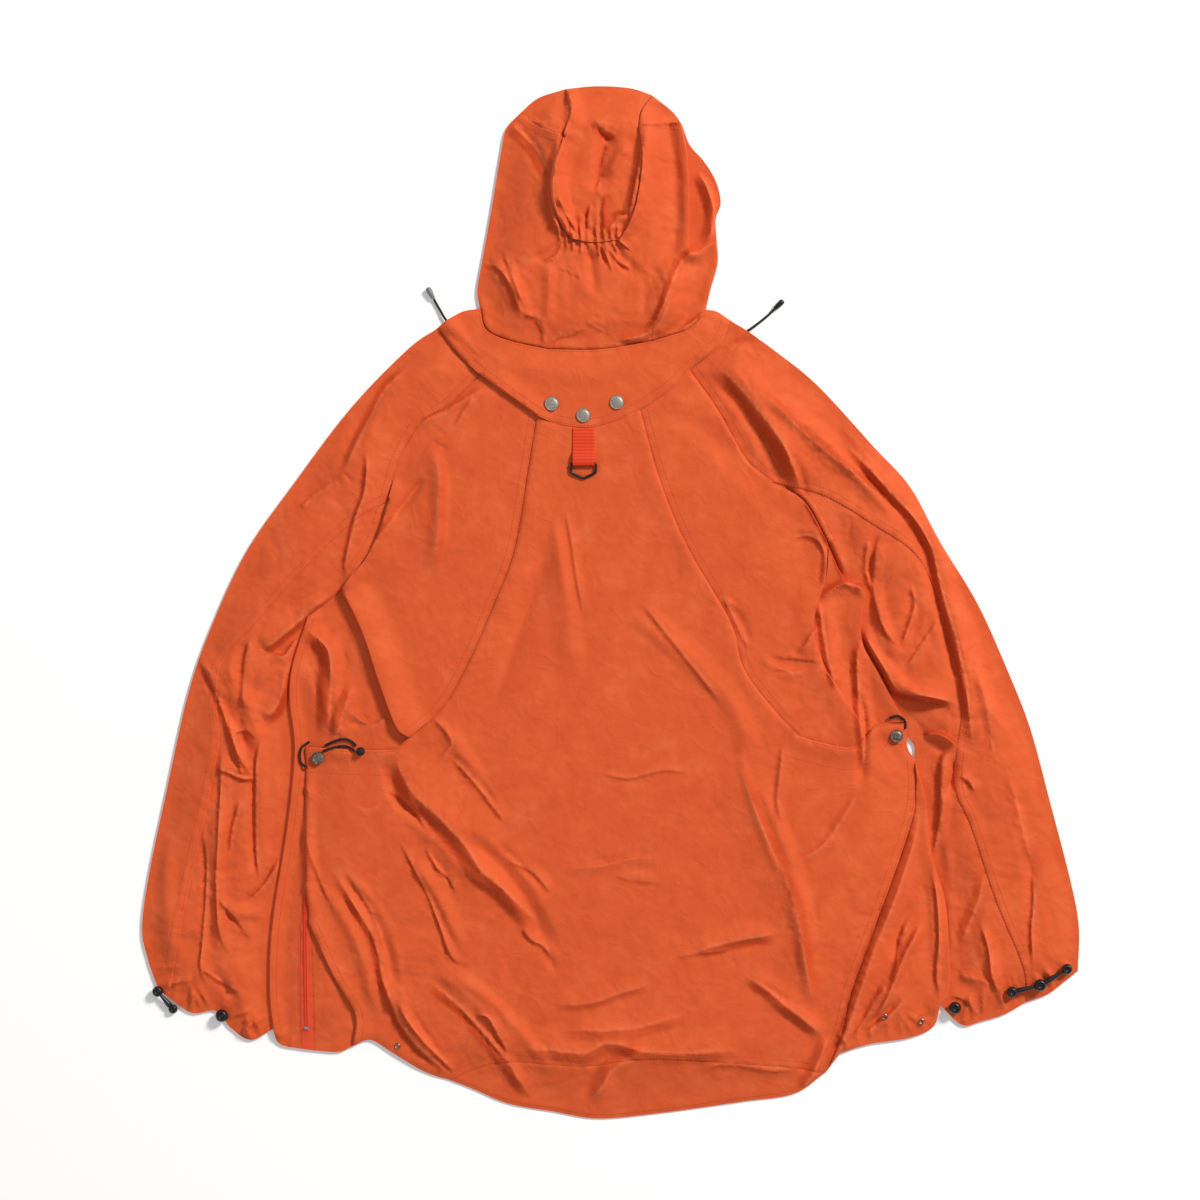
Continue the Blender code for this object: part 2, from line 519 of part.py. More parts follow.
def fabric(name, colour, roughness=0.6, metallic=0.0):
    """A plain material in linear colour."""
    material = bpy.data.materials.new(name)
    material.use_nodes = True
    shader = material.node_tree.nodes["Principled BSDF"]
    shader.inputs["Base Color"].default_value = (*colour, 1.0)
    shader.inputs["Roughness"].default_value = roughness
    shader.inputs["Metallic"].default_value = metallic
    return material


def add_mesh(name, mesh, material):
    """A new object of the jacket."""
    obj = bpy.data.objects.new(name, mesh)
    mesh.materials.append(material)
    jacket.objects.link(obj)
    return obj


def cloth_wall(name, loop, points, heights, wall, material):
    """A panel: its outline filled with triangles, lifted, and given its thickness downwards."""
    count = len(loop)
    flat = [Vector(p) for p in loop] + [Vector(p) for p in points]
    edges = [(i, (i + 1) % count) for i in range(count)]
    verts, _, faces, *_ = delaunay_2d_cdt(flat, edges, [], 1, 1e-4)
    lift = heights(np.array([(p.x, p.y) for p in verts]))
    mesh = bmesh.new()
    corners = [mesh.verts.new(place(p.x, p.y, z + wall)) for p, z in zip(verts, lift)]
    for face in faces:
        mesh.faces.new([corners[k] for k in face])
    loose = [vert for vert in mesh.verts if not vert.link_faces]
    bmesh.ops.delete(mesh, geom=loose, context="VERTS")
    under = bmesh.ops.extrude_face_region(mesh, geom=mesh.faces[:])
    moved = [part for part in under["geom"] if isinstance(part, bmesh.types.BMVert)]
    bmesh.ops.translate(mesh, verts=moved, vec=(0.0, 0.0, -wall * MM))
    bmesh.ops.recalc_face_normals(mesh, faces=mesh.faces[:])
    if mesh.calc_volume(signed=True) < 0:
        bmesh.ops.reverse_faces(mesh, faces=mesh.faces[:])
    data = bpy.data.meshes.new(name)
    mesh.to_mesh(data)
    mesh.free()
    return add_mesh(name, data, material)


def front_panel(name, seam_list):
    """A panel of the front, flat on the table."""
    loop = pull_in(outline(seam_list), SEAM_GAP / 2)
    points = inner_points(loop, FLAT_CELL, "front")
    return cloth_wall(name, loop, points, lambda p: np.zeros(len(p)), FRONT_WALL, shell_cloth)


def back_panel(name, group, edge_lift, seam_list):
    """A panel of the back, over the front."""
    loop = pull_in(outline(seam_list), SEAM_GAP / 2)
    points = inner_points(loop, CELL, group)
    return cloth_wall(name, loop, points, lambda p: underside(p, group, edge_lift), BACK_WALL, shell_cloth)


# Hardware, in millimetres on the lay plan.
SNAP_RADIUS, SNAP_HEIGHT = 7.2, 2.6
YOKE_SNAPS = [(552, 404), (583.5, 415.5), (617, 402.5)]
POCKET_SNAP_RADIUS = 6.4
POCKET_SNAPS = {"left": ("back_centre", 318, 758), "right": ("back_centre", 897, 736)}
EYELET_RADIUS, EYELET_HOLE, EYELET_HEIGHT = 3.2, 1.5, 1.0
HEM_EYELETS = [("back_centre", 397, 1047), ("side_right", 885, 1017), ("side_right", 922, 1022)]

STRAP_U, STRAP_TOP_V, STRAP_WIDTH, STRAP_WALL = 583.5, 427.8, 21.6, 1.3
BAR_V = 463.5  # the straight bar of the ring, which the strap goes round
RING_WIRE = 1.3  # radius of the ring's wire
RING_RUN = 0.35  # running clearance of the bar in the strap
RING_HALF_WIDTH = STRAP_WIDTH / 2 + RING_RUN + RING_WIRE  # to the middle of the wire
RING_SIDE, RING_DEPTH = 9.5, 15.2  # length of its straight sides, and from the bar to its point
RING_CORNER = 2.0  # length cut from each corner

CORD_RADIUS = 1.25
GLAND_RADIUS, GLAND_LENGTH = 1.9, 7.0
TIP_RADIUS, TIP_LENGTH = 2.9, 12.5
# Route of each drawcord of the hood, U, V and height of its middle: out of its gland between the
# two layers, over the front's edge at the shoulder, and down on the table.
HOOD_CORDS = {
    "left": [
        (470, 345, 3.4), (464, 339, 3.4), (457, 332, 3.3), (450, 325, 3.1), (444, 317, 2.9), (440, 310, 2.3),
        (436.5, 304, 1.9), (433.2, 298, 2.4),
    ],
    "right": [
        (709, 350.5, 3.4), (717, 346.5, 3.4), (726, 342, 3.4), (735, 337.5, 3.3), (744, 332.6, 3.1), (752, 327.5, 2.9),
        (760, 321.5, 2.2), (768, 315, 1.8), (774.6, 308.6, 2.4),
    ],
}
# Elastic loops at the pocket corners and the drawcord of the left pocket, U and V.
LOOP_RADIUS = 1.2
POCKET_LOOPS = {"left": [(309, 742), (302, 747), (299.5, 755), (301, 763), (307, 768)],
                "right": [(889, 718), (898, 716), (905, 721), (906, 729)]}
POCKET_CORDS = {"upper": [(325, 745.5), (335, 741), (344, 739), (351, 741), (356.5, 745.5)],
                "lower": [(323, 751), (331, 748.2), (339, 746.3), (346, 746.2), (351, 748), (355.4, 750.6)]}
POCKET_KNOT = (361.2, 751, 4.4)
# Cord locks of the cuffs: U, V and radius of each ball, and the balls that an elastic joins.
CUFF_BALLS = {"left_a": (157, 992, 5.4), "left_b": (172, 1010, 4.6), "left_c": (221.5, 1016, 6.4),
              "right_a": (1012, 992, 5.4), "right_b": (1040, 985, 6.2), "right_c": (1067, 969, 5.4),
              "right_d": (955, 1008, 6.2)}
CUFF_ELASTICS = [("left_a", "left_b"), ("right_a", "right_b"), ("right_b", "right_c")]
BALL_FLAT = 0.72  # height of a ball over its width
ELASTIC_RADIUS = 1.6


def surface(points, names):
    """The height in millimetres of the top of the named pieces at each point of the lay plan."""
    tops = np.zeros(len(points))
    depsgraph = bpy.context.evaluated_depsgraph_get()
    for name in names:
        tree = BVHTree.FromObject(jacket.objects[name], depsgraph)
        for i, (u, v) in enumerate(points):
            hit = tree.ray_cast(place(u, v, 500.0), Vector((0.0, 0.0, -1.0)))[0]
            if hit is not None:
                tops[i] = max(tops[i], hit.z / MM)
    return tops


def seat(u, v, radius, names):
    """The lowest height at which a flat piece of that radius clears the cloth under it."""
    rings = [(u, v)]
    for part, share in ((6, 0.5), (12, 1.0)):
        for k in range(part):
            angle = 2 * math.pi * k / part
            rings.append((u + share * radius * math.cos(angle), v + share * radius * math.sin(angle)))
    return float(surface(rings, names).max()) + SEAM_GAP


def turned(name, profile, u, v, z, material, segments=16):
    """A round piece: its profile of radius and height, top to bottom, turned about a level seat."""
    mesh = bpy.data.meshes.new(name)
    points = [(radius * MM, 0.0, height * MM) for radius, height in profile]
    mesh.from_pydata(points, [(i, i + 1) for i in range(len(points) - 1)], [])
    obj = add_mesh(name, mesh, material)
    obj.location = place(u, v, z)
    screw = obj.modifiers.new("turn", "SCREW")
    screw.axis = "Z"
    screw.steps = screw.render_steps = segments
    screw.use_merge_vertices = True
    screw.merge_threshold = 0.00001
    return obj


def snap(name, u, v, radius, panel, material):
    """A snap's domed cap with its rolled rim."""
    z = seat(u, v, radius, [panel])
    profile = [(0.0, SNAP_HEIGHT), (radius * 0.55, SNAP_HEIGHT * 0.9), (radius * 0.9, SNAP_HEIGHT * 0.6),
               (radius, SNAP_HEIGHT * 0.3), (radius * 0.94, 0.0), (0.0, 0.0)]
    return turned(name, profile, u, v, z, material)


def eyelet(name, u, v, z, material):
    """A flat ring round a hole."""
    middle = (EYELET_RADIUS + EYELET_HOLE) / 2
    profile = [(EYELET_HOLE, 0.3), (middle, EYELET_HEIGHT), (EYELET_RADIUS, 0.3), (EYELET_RADIUS, 0.0),
               (EYELET_HOLE, 0.0), (EYELET_HOLE, 0.3)]
    return turned(name, profile, u, v, z, material, segments=12)


def tube(name, points, radius, material, cyclic=False, sides=2):
    """A round tube along points given in metres."""
    curve = bpy.data.curves.new(name, "CURVE")
    curve.dimensions = "3D"
    curve.bevel_depth = radius * MM
    curve.bevel_resolution = sides
    curve.use_fill_caps = not cyclic
    spline = curve.splines.new("POLY")
    spline.points.add(len(points) - 1)
    for spot, point in zip(spline.points, points):
        spot.co = (*point, 1.0)
    spline.use_cyclic_u = cyclic
    obj = bpy.data.objects.new(name, curve)
    curve.materials.append(material)
    jacket.objects.link(obj)
    return obj


def even_line(route, step):
    """Points in metres on a smooth curve through a route of U, V and height."""
    return [place(*point) for point in curve_points(route, step)]


def laid_line(route, radius, step, names):
    """Points in metres on a smooth curve through a route of U and V, laid on the named pieces."""
    flat = curve_points(route, step)
    heights = [seat(u, v, radius + SEAM_GAP, names) + radius for u, v in flat]
    return [place(u, v, z) for (u, v), z in zip(flat, heights)]


def ball_height(u, v, radius, names):
    """Height of the middle of a flattened ball that just clears the named pieces."""
    spots, hang = [(u, v)], [1.0]
    for count, share in ((8, 0.35), (12, 0.7), (12, 0.95)):
        for k in range(count):
            angle = 2 * math.pi * k / count
            spots.append((u + share * radius * math.cos(angle), v + share * radius * math.sin(angle)))
            hang.append(math.sqrt(1.0 - share * share))
    return float((surface(spots, names) + np.array(hang) * radius * BALL_FLAT).max()) + SEAM_GAP


def ball(name, u, v, radius, names, material):
    """A flattened ball that lies on the named pieces."""
    mesh = bmesh.new()
    bmesh.ops.create_uvsphere(mesh, u_segments=10, v_segments=7, radius=radius * MM)
    bmesh.ops.transform(mesh, matrix=Matrix.Diagonal((1.0, 1.0, BALL_FLAT, 1.0)), verts=mesh.verts)
    data = bpy.data.meshes.new(name)
    mesh.to_mesh(data)
    mesh.free()
    data.shade_smooth()
    obj = add_mesh(name, data, material)
    obj.location = place(u, v, ball_height(u, v, radius, names))
    return obj


def between_balls(name, first, second, material):
    """A short elastic that runs straight from one ball to the next, clear of both."""
    start, end = (jacket.objects[f"cuff_lock_{spot}"].location for spot in (first, second))
    ahead = (end - start).normalized()
    start = start + ahead * (CUFF_BALLS[first][2] + SEAM_GAP) * MM
    end = end - ahead * (CUFF_BALLS[second][2] + SEAM_GAP) * MM
    tube(name, [start, (start + end) / 2, end], ELASTIC_RADIUS, material)


def capsule(name, start, end, radius, material, segments=10):
    """A straight barrel with rounded ends between two points in metres."""
    length = (end - start).length / MM
    profile = [(0.0, length), (radius * 0.7, length - radius * 0.3), (radius, length - radius),
               (radius, radius * 0.6), (radius * 0.6, 0.0), (0.0, 0.0)]
    obj = turned(name, profile, 0.0, 0.0, 0.0, material, segments)
    obj.location = start
    obj.rotation_euler = (end - start).to_track_quat("Z", "X").to_euler()
    return obj


def strap(bar_z, under_z):
    """The webbing loop: two layers sewn together that go round the ring's bar."""
    outer = RING_WIRE + RING_RUN + STRAP_WALL
    curve = bpy.data.curves.new("ring_strap", "CURVE")
    curve.dimensions = "2D"
    curve.fill_mode = "BOTH"
    curve.extrude = STRAP_WIDTH / 2 * MM
    length = BAR_V - STRAP_TOP_V
    edge = [(-length, under_z - bar_z), (0.0, -outer)]
    edge += [(outer * math.sin(a), -outer * math.cos(a)) for a in np.linspace(0.35, math.pi - 0.35, 8)]
    edge += [(0.0, outer), (-6.0, outer * 0.55), (-14.0, 2 * STRAP_WALL + under_z - bar_z + 0.2),
             (-length, 2 * STRAP_WALL + under_z - bar_z)]
    hole = [((RING_WIRE + RING_RUN) * math.cos(a), (RING_WIRE + RING_RUN) * math.sin(a))
            for a in np.linspace(0.0, 2 * math.pi, 12, endpoint=False)]
    for loop in (edge, hole):
        spline = curve.splines.new("POLY")
        spline.points.add(len(loop) - 1)
        for spot, (forward, up) in zip(spline.points, loop):
            spot.co = (forward * MM, up * MM, 0.0, 1.0)
        spline.use_cyclic_u = True
    guide = bpy.data.objects.new("ring_strap_outline", curve)
    cutters.objects.link(guide)
    mesh = bpy.data.meshes.new_from_object(guide.evaluated_get(bpy.context.evaluated_depsgraph_get()))
    bpy.data.objects.remove(guide)
    mesh.transform(Matrix(((0, 0, 1, 0), (-1, 0, 0, 0), (0, 1, 0, 0), (0, 0, 0, 1))))
    solid = bmesh.new()
    solid.from_mesh(mesh)
    bmesh.ops.remove_doubles(solid, verts=solid.verts, dist=0.00001)
    bmesh.ops.recalc_face_normals(solid, faces=solid.faces[:])
    solid.to_mesh(mesh)
    solid.free()
    mesh.name = "ring_strap"
    obj = add_mesh("ring_strap", mesh, webbing)
    obj.location = place(STRAP_U, BAR_V, bar_z)


def ring(bar_z, cloth_z):
    """The D-ring: a straight bar, two sides and a point, in one plane that lies on the cloth."""
    drop = bar_z - (cloth_z + SEAM_GAP + RING_WIRE)
    lean = math.asin(drop / RING_DEPTH)
    corners = [(RING_HALF_WIDTH, 0.0), (RING_HALF_WIDTH, RING_SIDE), (0.0, RING_DEPTH),
               (-RING_HALF_WIDTH, RING_SIDE), (-RING_HALF_WIDTH, 0.0)]
    points = []
    for k, corner in enumerate(corners):
        corner = Vector(corner)
        before, after = Vector(corners[k - 1]), Vector(corners[(k + 1) % len(corners)])
        first = corner + (before - corner).normalized() * RING_CORNER
        last = corner + (after - corner).normalized() * RING_CORNER
        points += [first, (first + last + 2 * corner) / 4, last]
    line = [Vector((x * MM, -y * MM * math.cos(lean), -y * MM * math.sin(lean))) for x, y in points]
    obj = tube("d_ring", line, RING_WIRE, black_plastic, cyclic=True)
    obj.location = place(STRAP_U, BAR_V, bar_z)


for leftover in list(bpy.data.objects):
    bpy.data.objects.remove(leftover)
jacket = bpy.data.collections.new("hooded_jacket")
cutters = bpy.data.collections.new("cutters")
bpy.context.scene.collection.children.link(jacket)
bpy.context.scene.collection.children.link(cutters)

shell_cloth = fabric("nylon shell cloth", (0.73, 0.105, 0.031), 0.6)
webbing = fabric("nylon webbing", (0.84, 0.075, 0.018), 0.7)
zip_tape = fabric("zip tape", (0.84, 0.075, 0.018), 0.6)
nickel = fabric("brushed nickel", (0.5, 0.46, 0.41), 0.35, 1.0)
old_nickel = fabric("antique nickel", (0.22, 0.17, 0.14), 0.4, 1.0)
black_plastic = fabric("black plastic", (0.01, 0.01, 0.011), 0.4)
black_cord = fabric("black elastic cord", (0.012, 0.012, 0.013), 0.8)

for panel_name, seams_round in FRONT_PANELS:
    front_panel(panel_name, seams_round)
for panel_name, cloth_group, lift_at_edge, seams_round in PANELS:
    back_panel(panel_name, cloth_group, lift_at_edge, seams_round)
bpy.context.view_layer.update()

for number, (snap_u, snap_v) in enumerate(YOKE_SNAPS, 1):
    snap(f"yoke_snap_{number}", snap_u, snap_v, SNAP_RADIUS, "yoke", nickel)
for side, (under, snap_u, snap_v) in POCKET_SNAPS.items():
    snap(f"pocket_snap_{side}", snap_u, snap_v, POCKET_SNAP_RADIUS, under, old_nickel)
for number, (under, hole_u, hole_v) in enumerate(HEM_EYELETS, 1):
    eyelet(f"hem_eyelet_{number}", hole_u, hole_v, seat(hole_u, hole_v, EYELET_RADIUS, [under]), old_nickel)

cloth_z = seat(STRAP_U, BAR_V, RING_DEPTH, ["back_centre"]) - SEAM_GAP
ring_bar_z = cloth_z + SEAM_GAP + STRAP_WALL + RING_RUN + RING_WIRE
strap(ring_bar_z, cloth_z + SEAM_GAP)
ring(ring_bar_z, cloth_z)

for side, route in HOOD_CORDS.items():
    tube(f"hood_cord_{side}", even_line(route, 6.0), CORD_RADIUS, black_cord)
    first, second = place(*route[0]), place(*route[1])
    back = (first - second).normalized()
    capsule(f"hood_cord_gland_{side}", first + back * (GLAND_LENGTH + SEAM_GAP) * MM, first + back * SEAM_GAP * MM,
            GLAND_RADIUS, black_plastic)
    last, before = place(*route[-1]), place(*route[-2])
    ahead = Vector((last.x - before.x, last.y - before.y, 0.0)).normalized()
    foot = Vector((last.x, last.y, (TIP_RADIUS + SEAM_GAP) * MM))
    capsule(f"hood_cord_tip_{side}", foot + ahead * SEAM_GAP * MM, foot + ahead * (TIP_LENGTH + SEAM_GAP) * MM,
            TIP_RADIUS, black_plastic)

under_pocket = ["back_centre", "side_left", "side_right", "underarm_panel_right", "sleeve_right_inner"]
for side, route in POCKET_LOOPS.items():
    tube(f"pocket_loop_{side}", laid_line(route, LOOP_RADIUS, 5.0, under_pocket), LOOP_RADIUS, black_cord)
for strand, route in POCKET_CORDS.items():
    tube(f"pocket_cord_{strand}", laid_line(route, LOOP_RADIUS, 5.0, under_pocket), LOOP_RADIUS, black_cord)
ball("pocket_cord_knot", *POCKET_KNOT, under_pocket, black_cord)

under_cuff = ["sleeve_left_outer", "sleeve_left_inner", "sleeve_right_outer", "sleeve_right_inner"]
for spot, (ball_u, ball_v, ball_radius) in CUFF_BALLS.items():
    ball(f"cuff_lock_{spot}", ball_u, ball_v, ball_radius, under_cuff, black_plastic)
bpy.context.view_layer.update()
for number, (first_ball, second_ball) in enumerate(CUFF_ELASTICS, 1):
    between_balls(f"cuff_elastic_{number}", first_ball, second_ball, black_cord)
jacket.objects["side_zip_tape"].data.materials[0] = zip_tape
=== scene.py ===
# %% [markdown]
# # A hooded shell jacket, laid flat
# The jacket lies on its front, hood up, and we look straight down at its back. It is thin crinkled
# nylon, so nearly all of its look is in two things: the folds of the cloth, and the soft two-tone
# sheen of the fabric on them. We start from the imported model, which is the fixed frame: every piece
# made here lies where one of its solids lies.

# %% Load the frame
import math

import bpy
import numpy as np
from mathutils import Matrix, Vector
from mathutils.bvhtree import BVHTree
from mathutils.geometry import delaunay_2d_cdt


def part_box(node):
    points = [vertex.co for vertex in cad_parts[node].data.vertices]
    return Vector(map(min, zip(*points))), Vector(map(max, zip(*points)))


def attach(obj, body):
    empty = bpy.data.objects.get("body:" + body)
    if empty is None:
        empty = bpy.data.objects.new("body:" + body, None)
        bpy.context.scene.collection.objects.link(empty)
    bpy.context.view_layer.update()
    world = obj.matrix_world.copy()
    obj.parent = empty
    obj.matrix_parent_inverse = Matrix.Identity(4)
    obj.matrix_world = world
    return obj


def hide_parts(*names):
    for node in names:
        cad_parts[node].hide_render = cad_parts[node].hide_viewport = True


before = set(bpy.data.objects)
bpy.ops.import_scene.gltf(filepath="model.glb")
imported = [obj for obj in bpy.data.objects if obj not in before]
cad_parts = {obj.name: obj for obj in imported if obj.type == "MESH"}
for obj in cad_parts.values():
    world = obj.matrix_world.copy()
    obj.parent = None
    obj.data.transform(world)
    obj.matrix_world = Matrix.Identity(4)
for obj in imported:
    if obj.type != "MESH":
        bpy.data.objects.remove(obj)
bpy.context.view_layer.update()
BODY, RING_BODY = "jacket", "d_ring"
bpy.ops.object.select_all(action="DESELECT")

# %% [markdown]
# ## Camera
# A garment is best shown flat with the camera straight above its middle. A long lens far away keeps
# the perspective slight, so that one millimetre is the same length in the middle and at the cuffs.

# %% Camera
MM = 0.001
PLAN_U, PLAN_V = 610.67, 602.5  # the lay plan's point at the origin, in millimetres
PHOTO_SIDE = 1200.0  # the picture covers this many millimetres of the plan
PHOTO_MIDDLE = ((PHOTO_SIDE / 2 - PLAN_U) * MM, (PLAN_V - PHOTO_SIDE / 2) * MM)
LENS, SENSOR = 85.0, 36.0
CLOTH_LEVEL = 0.010  # the height at which the picture is exactly that wide


def add_object(name, data):
    """A new object of the scene, at the origin."""
    obj = bpy.data.objects.new(name, data)
    bpy.context.scene.collection.objects.link(obj)
    return obj


camera_data = bpy.data.cameras.new("camera")
camera_data.lens = LENS
camera_data.sensor_width = SENSOR
camera_data.clip_start = 0.05
camera = add_object("camera", camera_data)
camera.location = (*PHOTO_MIDDLE, CLOTH_LEVEL + PHOTO_SIDE * MM * LENS / SENSOR)
bpy.context.scene.camera = camera
bpy.context.scene.view_settings.view_transform = "Standard"
print("camera at", tuple(round(x, 3) for x in camera.location))

# %% [markdown]
# ## Floor
# Clothes are photographed on white paper that is lit until it is nearly blank. A pale matt plane does
# the same here. A little glow of its own lifts it to white and leaves the contact shadows.

# %% Floor
FLOOR_SIZE, FLOOR_LEVEL = 12.0, -0.0004


def srgb(code):
    """A colour such as E0603A, as linear red, green, blue and alpha."""
    channels = [int(code[i : i + 2], 16) / 255 for i in (0, 2, 4)]
    return [c / 12.92 if c <= 0.04045 else ((c + 0.055) / 1.055) ** 2.4 for c in channels] + [1.0]


def new_material(name, colour, roughness, metallic=0.0):
    """A material and its Principled shader."""
    material = bpy.data.materials.new(name)
    material.use_nodes = True
    shader = material.node_tree.nodes["Principled BSDF"]
    shader.inputs["Base Color"].default_value = srgb(colour)
    shader.inputs["Roughness"].default_value = roughness
    shader.inputs["Metallic"].default_value = metallic
    return material, shader


bpy.ops.mesh.primitive_plane_add(size=FLOOR_SIZE, location=(0.0, 0.0, FLOOR_LEVEL))
floor = bpy.context.object
floor.name = "floor"
paper, shader = new_material("white floor", "FAFAFA", 0.9)
shader.inputs["Specular IOR Level"].default_value = 0.1
shader.inputs["Emission Color"].default_value = srgb("FFFFFF")
shader.inputs["Emission Strength"].default_value = 0.12
floor.data.materials.append(paper)
print("floor:", FLOOR_SIZE, "m square")

# %% [markdown]
# ## Light
# Folds show only when the light is low enough to leave their far sides in shade. One large soft light
# stands to the upper right, so every fold is bright on its right and dark on its lower left. A weak
# fill and a pale world keep the dark sides orange.

# %% Lights
WORLD_STRENGTH = 0.36


def area_light(name, place, size, power, colour):
    """A square soft light that faces the middle of the jacket."""
    lamp = bpy.data.lights.new(name, "AREA")
    lamp.size = size
    lamp.energy = power
    lamp.color = srgb(colour)[:3]
    obj = add_object(name, lamp)
    obj.location = place
    obj.rotation_euler = (-Vector(place)).to_track_quat("-Z", "Y").to_euler()
    return obj


key = area_light("key", (4.2, 3.9, 4.7), 1.4, 525.0, "FFFDF8")
fill = area_light("fill", (-2.6, -1.6, 2.6), 2.4, 14.0, "F6F9FF")
world = bpy.data.worlds.new("studio")
world.use_nodes = True
world.node_tree.nodes["Background"].inputs["Color"].default_value = srgb("FFFFFF")
world.node_tree.nodes["Background"].inputs["Strength"].default_value = WORLD_STRENGTH
bpy.context.scene.world = world
print("key to fill:", round(key.data.energy / fill.data.energy, 1))

# %% [markdown]
# ## The lay plan
# The garment was measured on a 1:1 lay plan in millimetres: U runs right and V runs down. Each table
# below holds one row to a line. A seam is a name and the points that its smooth curve goes through.

# %% Reading a table
def read_cell(word):
    """A U,V pair becomes a point and a number a number, and a word stays a word."""
    if "," in word:
        return tuple(float(part) for part in word.split(","))
    return float(word) if word[0] in "-.0123456789" else word


def rows(text):
    """The rows of a table. A line that starts with a point goes on with the row above it."""
    table = []
    for line in text.splitlines():
        cells = [read_cell(word) for word in line.split("#")[0].split()]
        if cells and isinstance(cells[0], tuple):
            table[-1] += cells
        elif cells:
            table.append(cells)
    return table


print("a row:", rows("neck 480,308 486,329")[0])

# %% Levels of the lay
SEAM_GAP = 0.3  # between any two pieces that touch
FRONT_WALL = 1.2  # cloth wall of the flat front layer
BACK_WALL = 1.6  # cloth wall of the back layer, measured straight up
BACK_REST = FRONT_WALL + SEAM_GAP  # lowest underside of a back panel over the front
EDGE_ROLL = 16.0  # width over which the loft falls to the outline of the garment
FRONT_HEM_V = 1045.0  # the front is shorter, and the back's tail lies on the table below it
TAIL_START_V = 1059.0  # where the tail starts to come down to the table
TAIL_DROP = 24.0  # length over which it comes down
print("the back rests", BACK_REST, "mm over the table")

# %% Seams and edges
SEAMS = {name: points for name, *points in rows("""
# outline of the hood
hood_edge_left 480,308 477,290 482,260 490,216 500,156 506,128 520,112
hood_top_left 520,112 538,97 565,88
hood_top 565,88 596,85 630,87 652,94
hood_top_right 652,94 672,110 682,123
brim_edge 682,123 690,144 704,160 716,180 721,202 716,218 717,240
hood_edge_right 717,240 718,262 711,288 706,309
# outline of the shoulders, sleeves and cuffs
yoke_end_left 480,308 462,311 445,321 438,327
yoke_end_right 706,309 717,311 731,320
sleeve_edge_left 438,327 407,349 351,407 295,481 246,551 210,628 187,695 165,794 148,875 141,930
148,965
sleeve_edge_right 731,320 748,331 775,350 818,385 874,446 911,487 941,542 978,603 1007,667 1031,728
1051,802 1072,883 1080,928 1079,972
cuff_left_outer 148,965 157,988 168,999
cuff_left_inner 168,999 191,1014 215,1012 230,1029 250,1041 272,1030
cuff_right_outer 1079,972 1064,984 1049,995 1027,1003
cuff_right_inner 1027,1003 1006,1015 983,1022 963,1026 941,1006
# hem
hem_side_left 272,1030 279,1045 301,1050
hem_zip_left 301,1050 313,1051.5
hem_gusset_left 313,1051.5 338,1053 352,1047
hem_pocket_left 352,1047 370,1041 392,1054
hem_tail_left 392,1054 424,1073 451,1082
hem_tail 451,1082 474,1091 508,1105 553,1113 599,1120 664,1114 743,1103 795,1095 826,1074
hem_tail_right 826,1074 841,1054
hem_side_right 841,1054 871,1045 909,1039 934,1028 941,1006
# neck, yoke, hood
neck_left 480,308 486,329 508,340 548,349
neck_nape 548,349 600,349 652,341
neck_right 652,341 690,328 706,309
gather 572,240 595,243 618,240
yoke_left 438,327 456,351 480,375
yoke_side_left 480,375 506,394 537,416
yoke_centre 537,416 559,424 590,427 620,419 640,410
yoke_side_right 640,410 668,391 690,370
yoke_right 690,370 719,345 731,320
crown_left 520,112 540,127 564,138
crown_right 638,126 660,121 682,123
bulge_left_top 565,88 570,110 564,138
bulge_left 564,138 553,170 552,200 560,224 572,240
bulge_right_top 652,94 641,110 638,126
bulge_right 638,126 641,160 636,200 628,224 618,240
nape_left 572,240 552,264 547,300 548,349
nape_right 618,240 640,262 655,295 652,341
brim_seam 682,123 688,156 690,210 691,250 717,240
# back of the body
raglan_left 480,375 450,405 421,423 400,459 388,500
raglan_left_low 388,500 372,545 341,590
raglan_right 690,370 719,411 746,458 774,483
raglan_right_low 774,483 805,502 829,545
princess_left 537,416 528,472 515,548 495,602 467,666 442,708 408,738
princess_right 640,410 660,481 688,548 730,621 744,669 775,711 799,736
underarm_left 341,590 362,633 378,681 395,726 408,738
underarm_top_left 341,590 325,604 306,617
underarm_right 829,545 826,580 814,625 826,668 852,706 866,736
underarm_edge_right 829,545 846,579 866,588 862,636 882,677 905,722
pocket_left 408,738 392,749 350,749 305,747
pocket_right 799,736 816,741 850,747 866,736
pocket_end_right 866,736 877,725 905,722
overlay_left 305,747 305,820 306,890
overlay_left_zip 306,890 310,926
overlay_left_low 310,926 332,974 354,1014 352,1047
zip_left 306,890 301,925 300,985 301,1050
zip_right 310,926 312,985 313,1051.5
overlay_right 916,760 917,785 911,826 879,916 852,990 843,1030 826,1074
hem_seam 451,1082 478,1069 513,1062 584,1066 640,1059 720,1062 790,1068 826,1074
body_edge_left 306,617 291,665 288,700 293,750 286,824 271,922 268,988 272,1030
body_edge_right_top 905,722 907,737
gap_body 907,737 909,750 916,760
gap_sleeve 907,737 915,745 916,760
body_edge_right 916,760 927,802 933,857 946,900 950,950 950,990 941,1006
# sleeves
sleeve_seam_left 388,500 351,525 303,572 253,628 222,662 217,700 219,742 209,797 185,906 168,999
sleeve_seam_right 774,483 823,496 874,526 914,554 936,592 952,645 962,697 956,750 955,790 970,826
996,903 1022,966 1027,1003
""")}
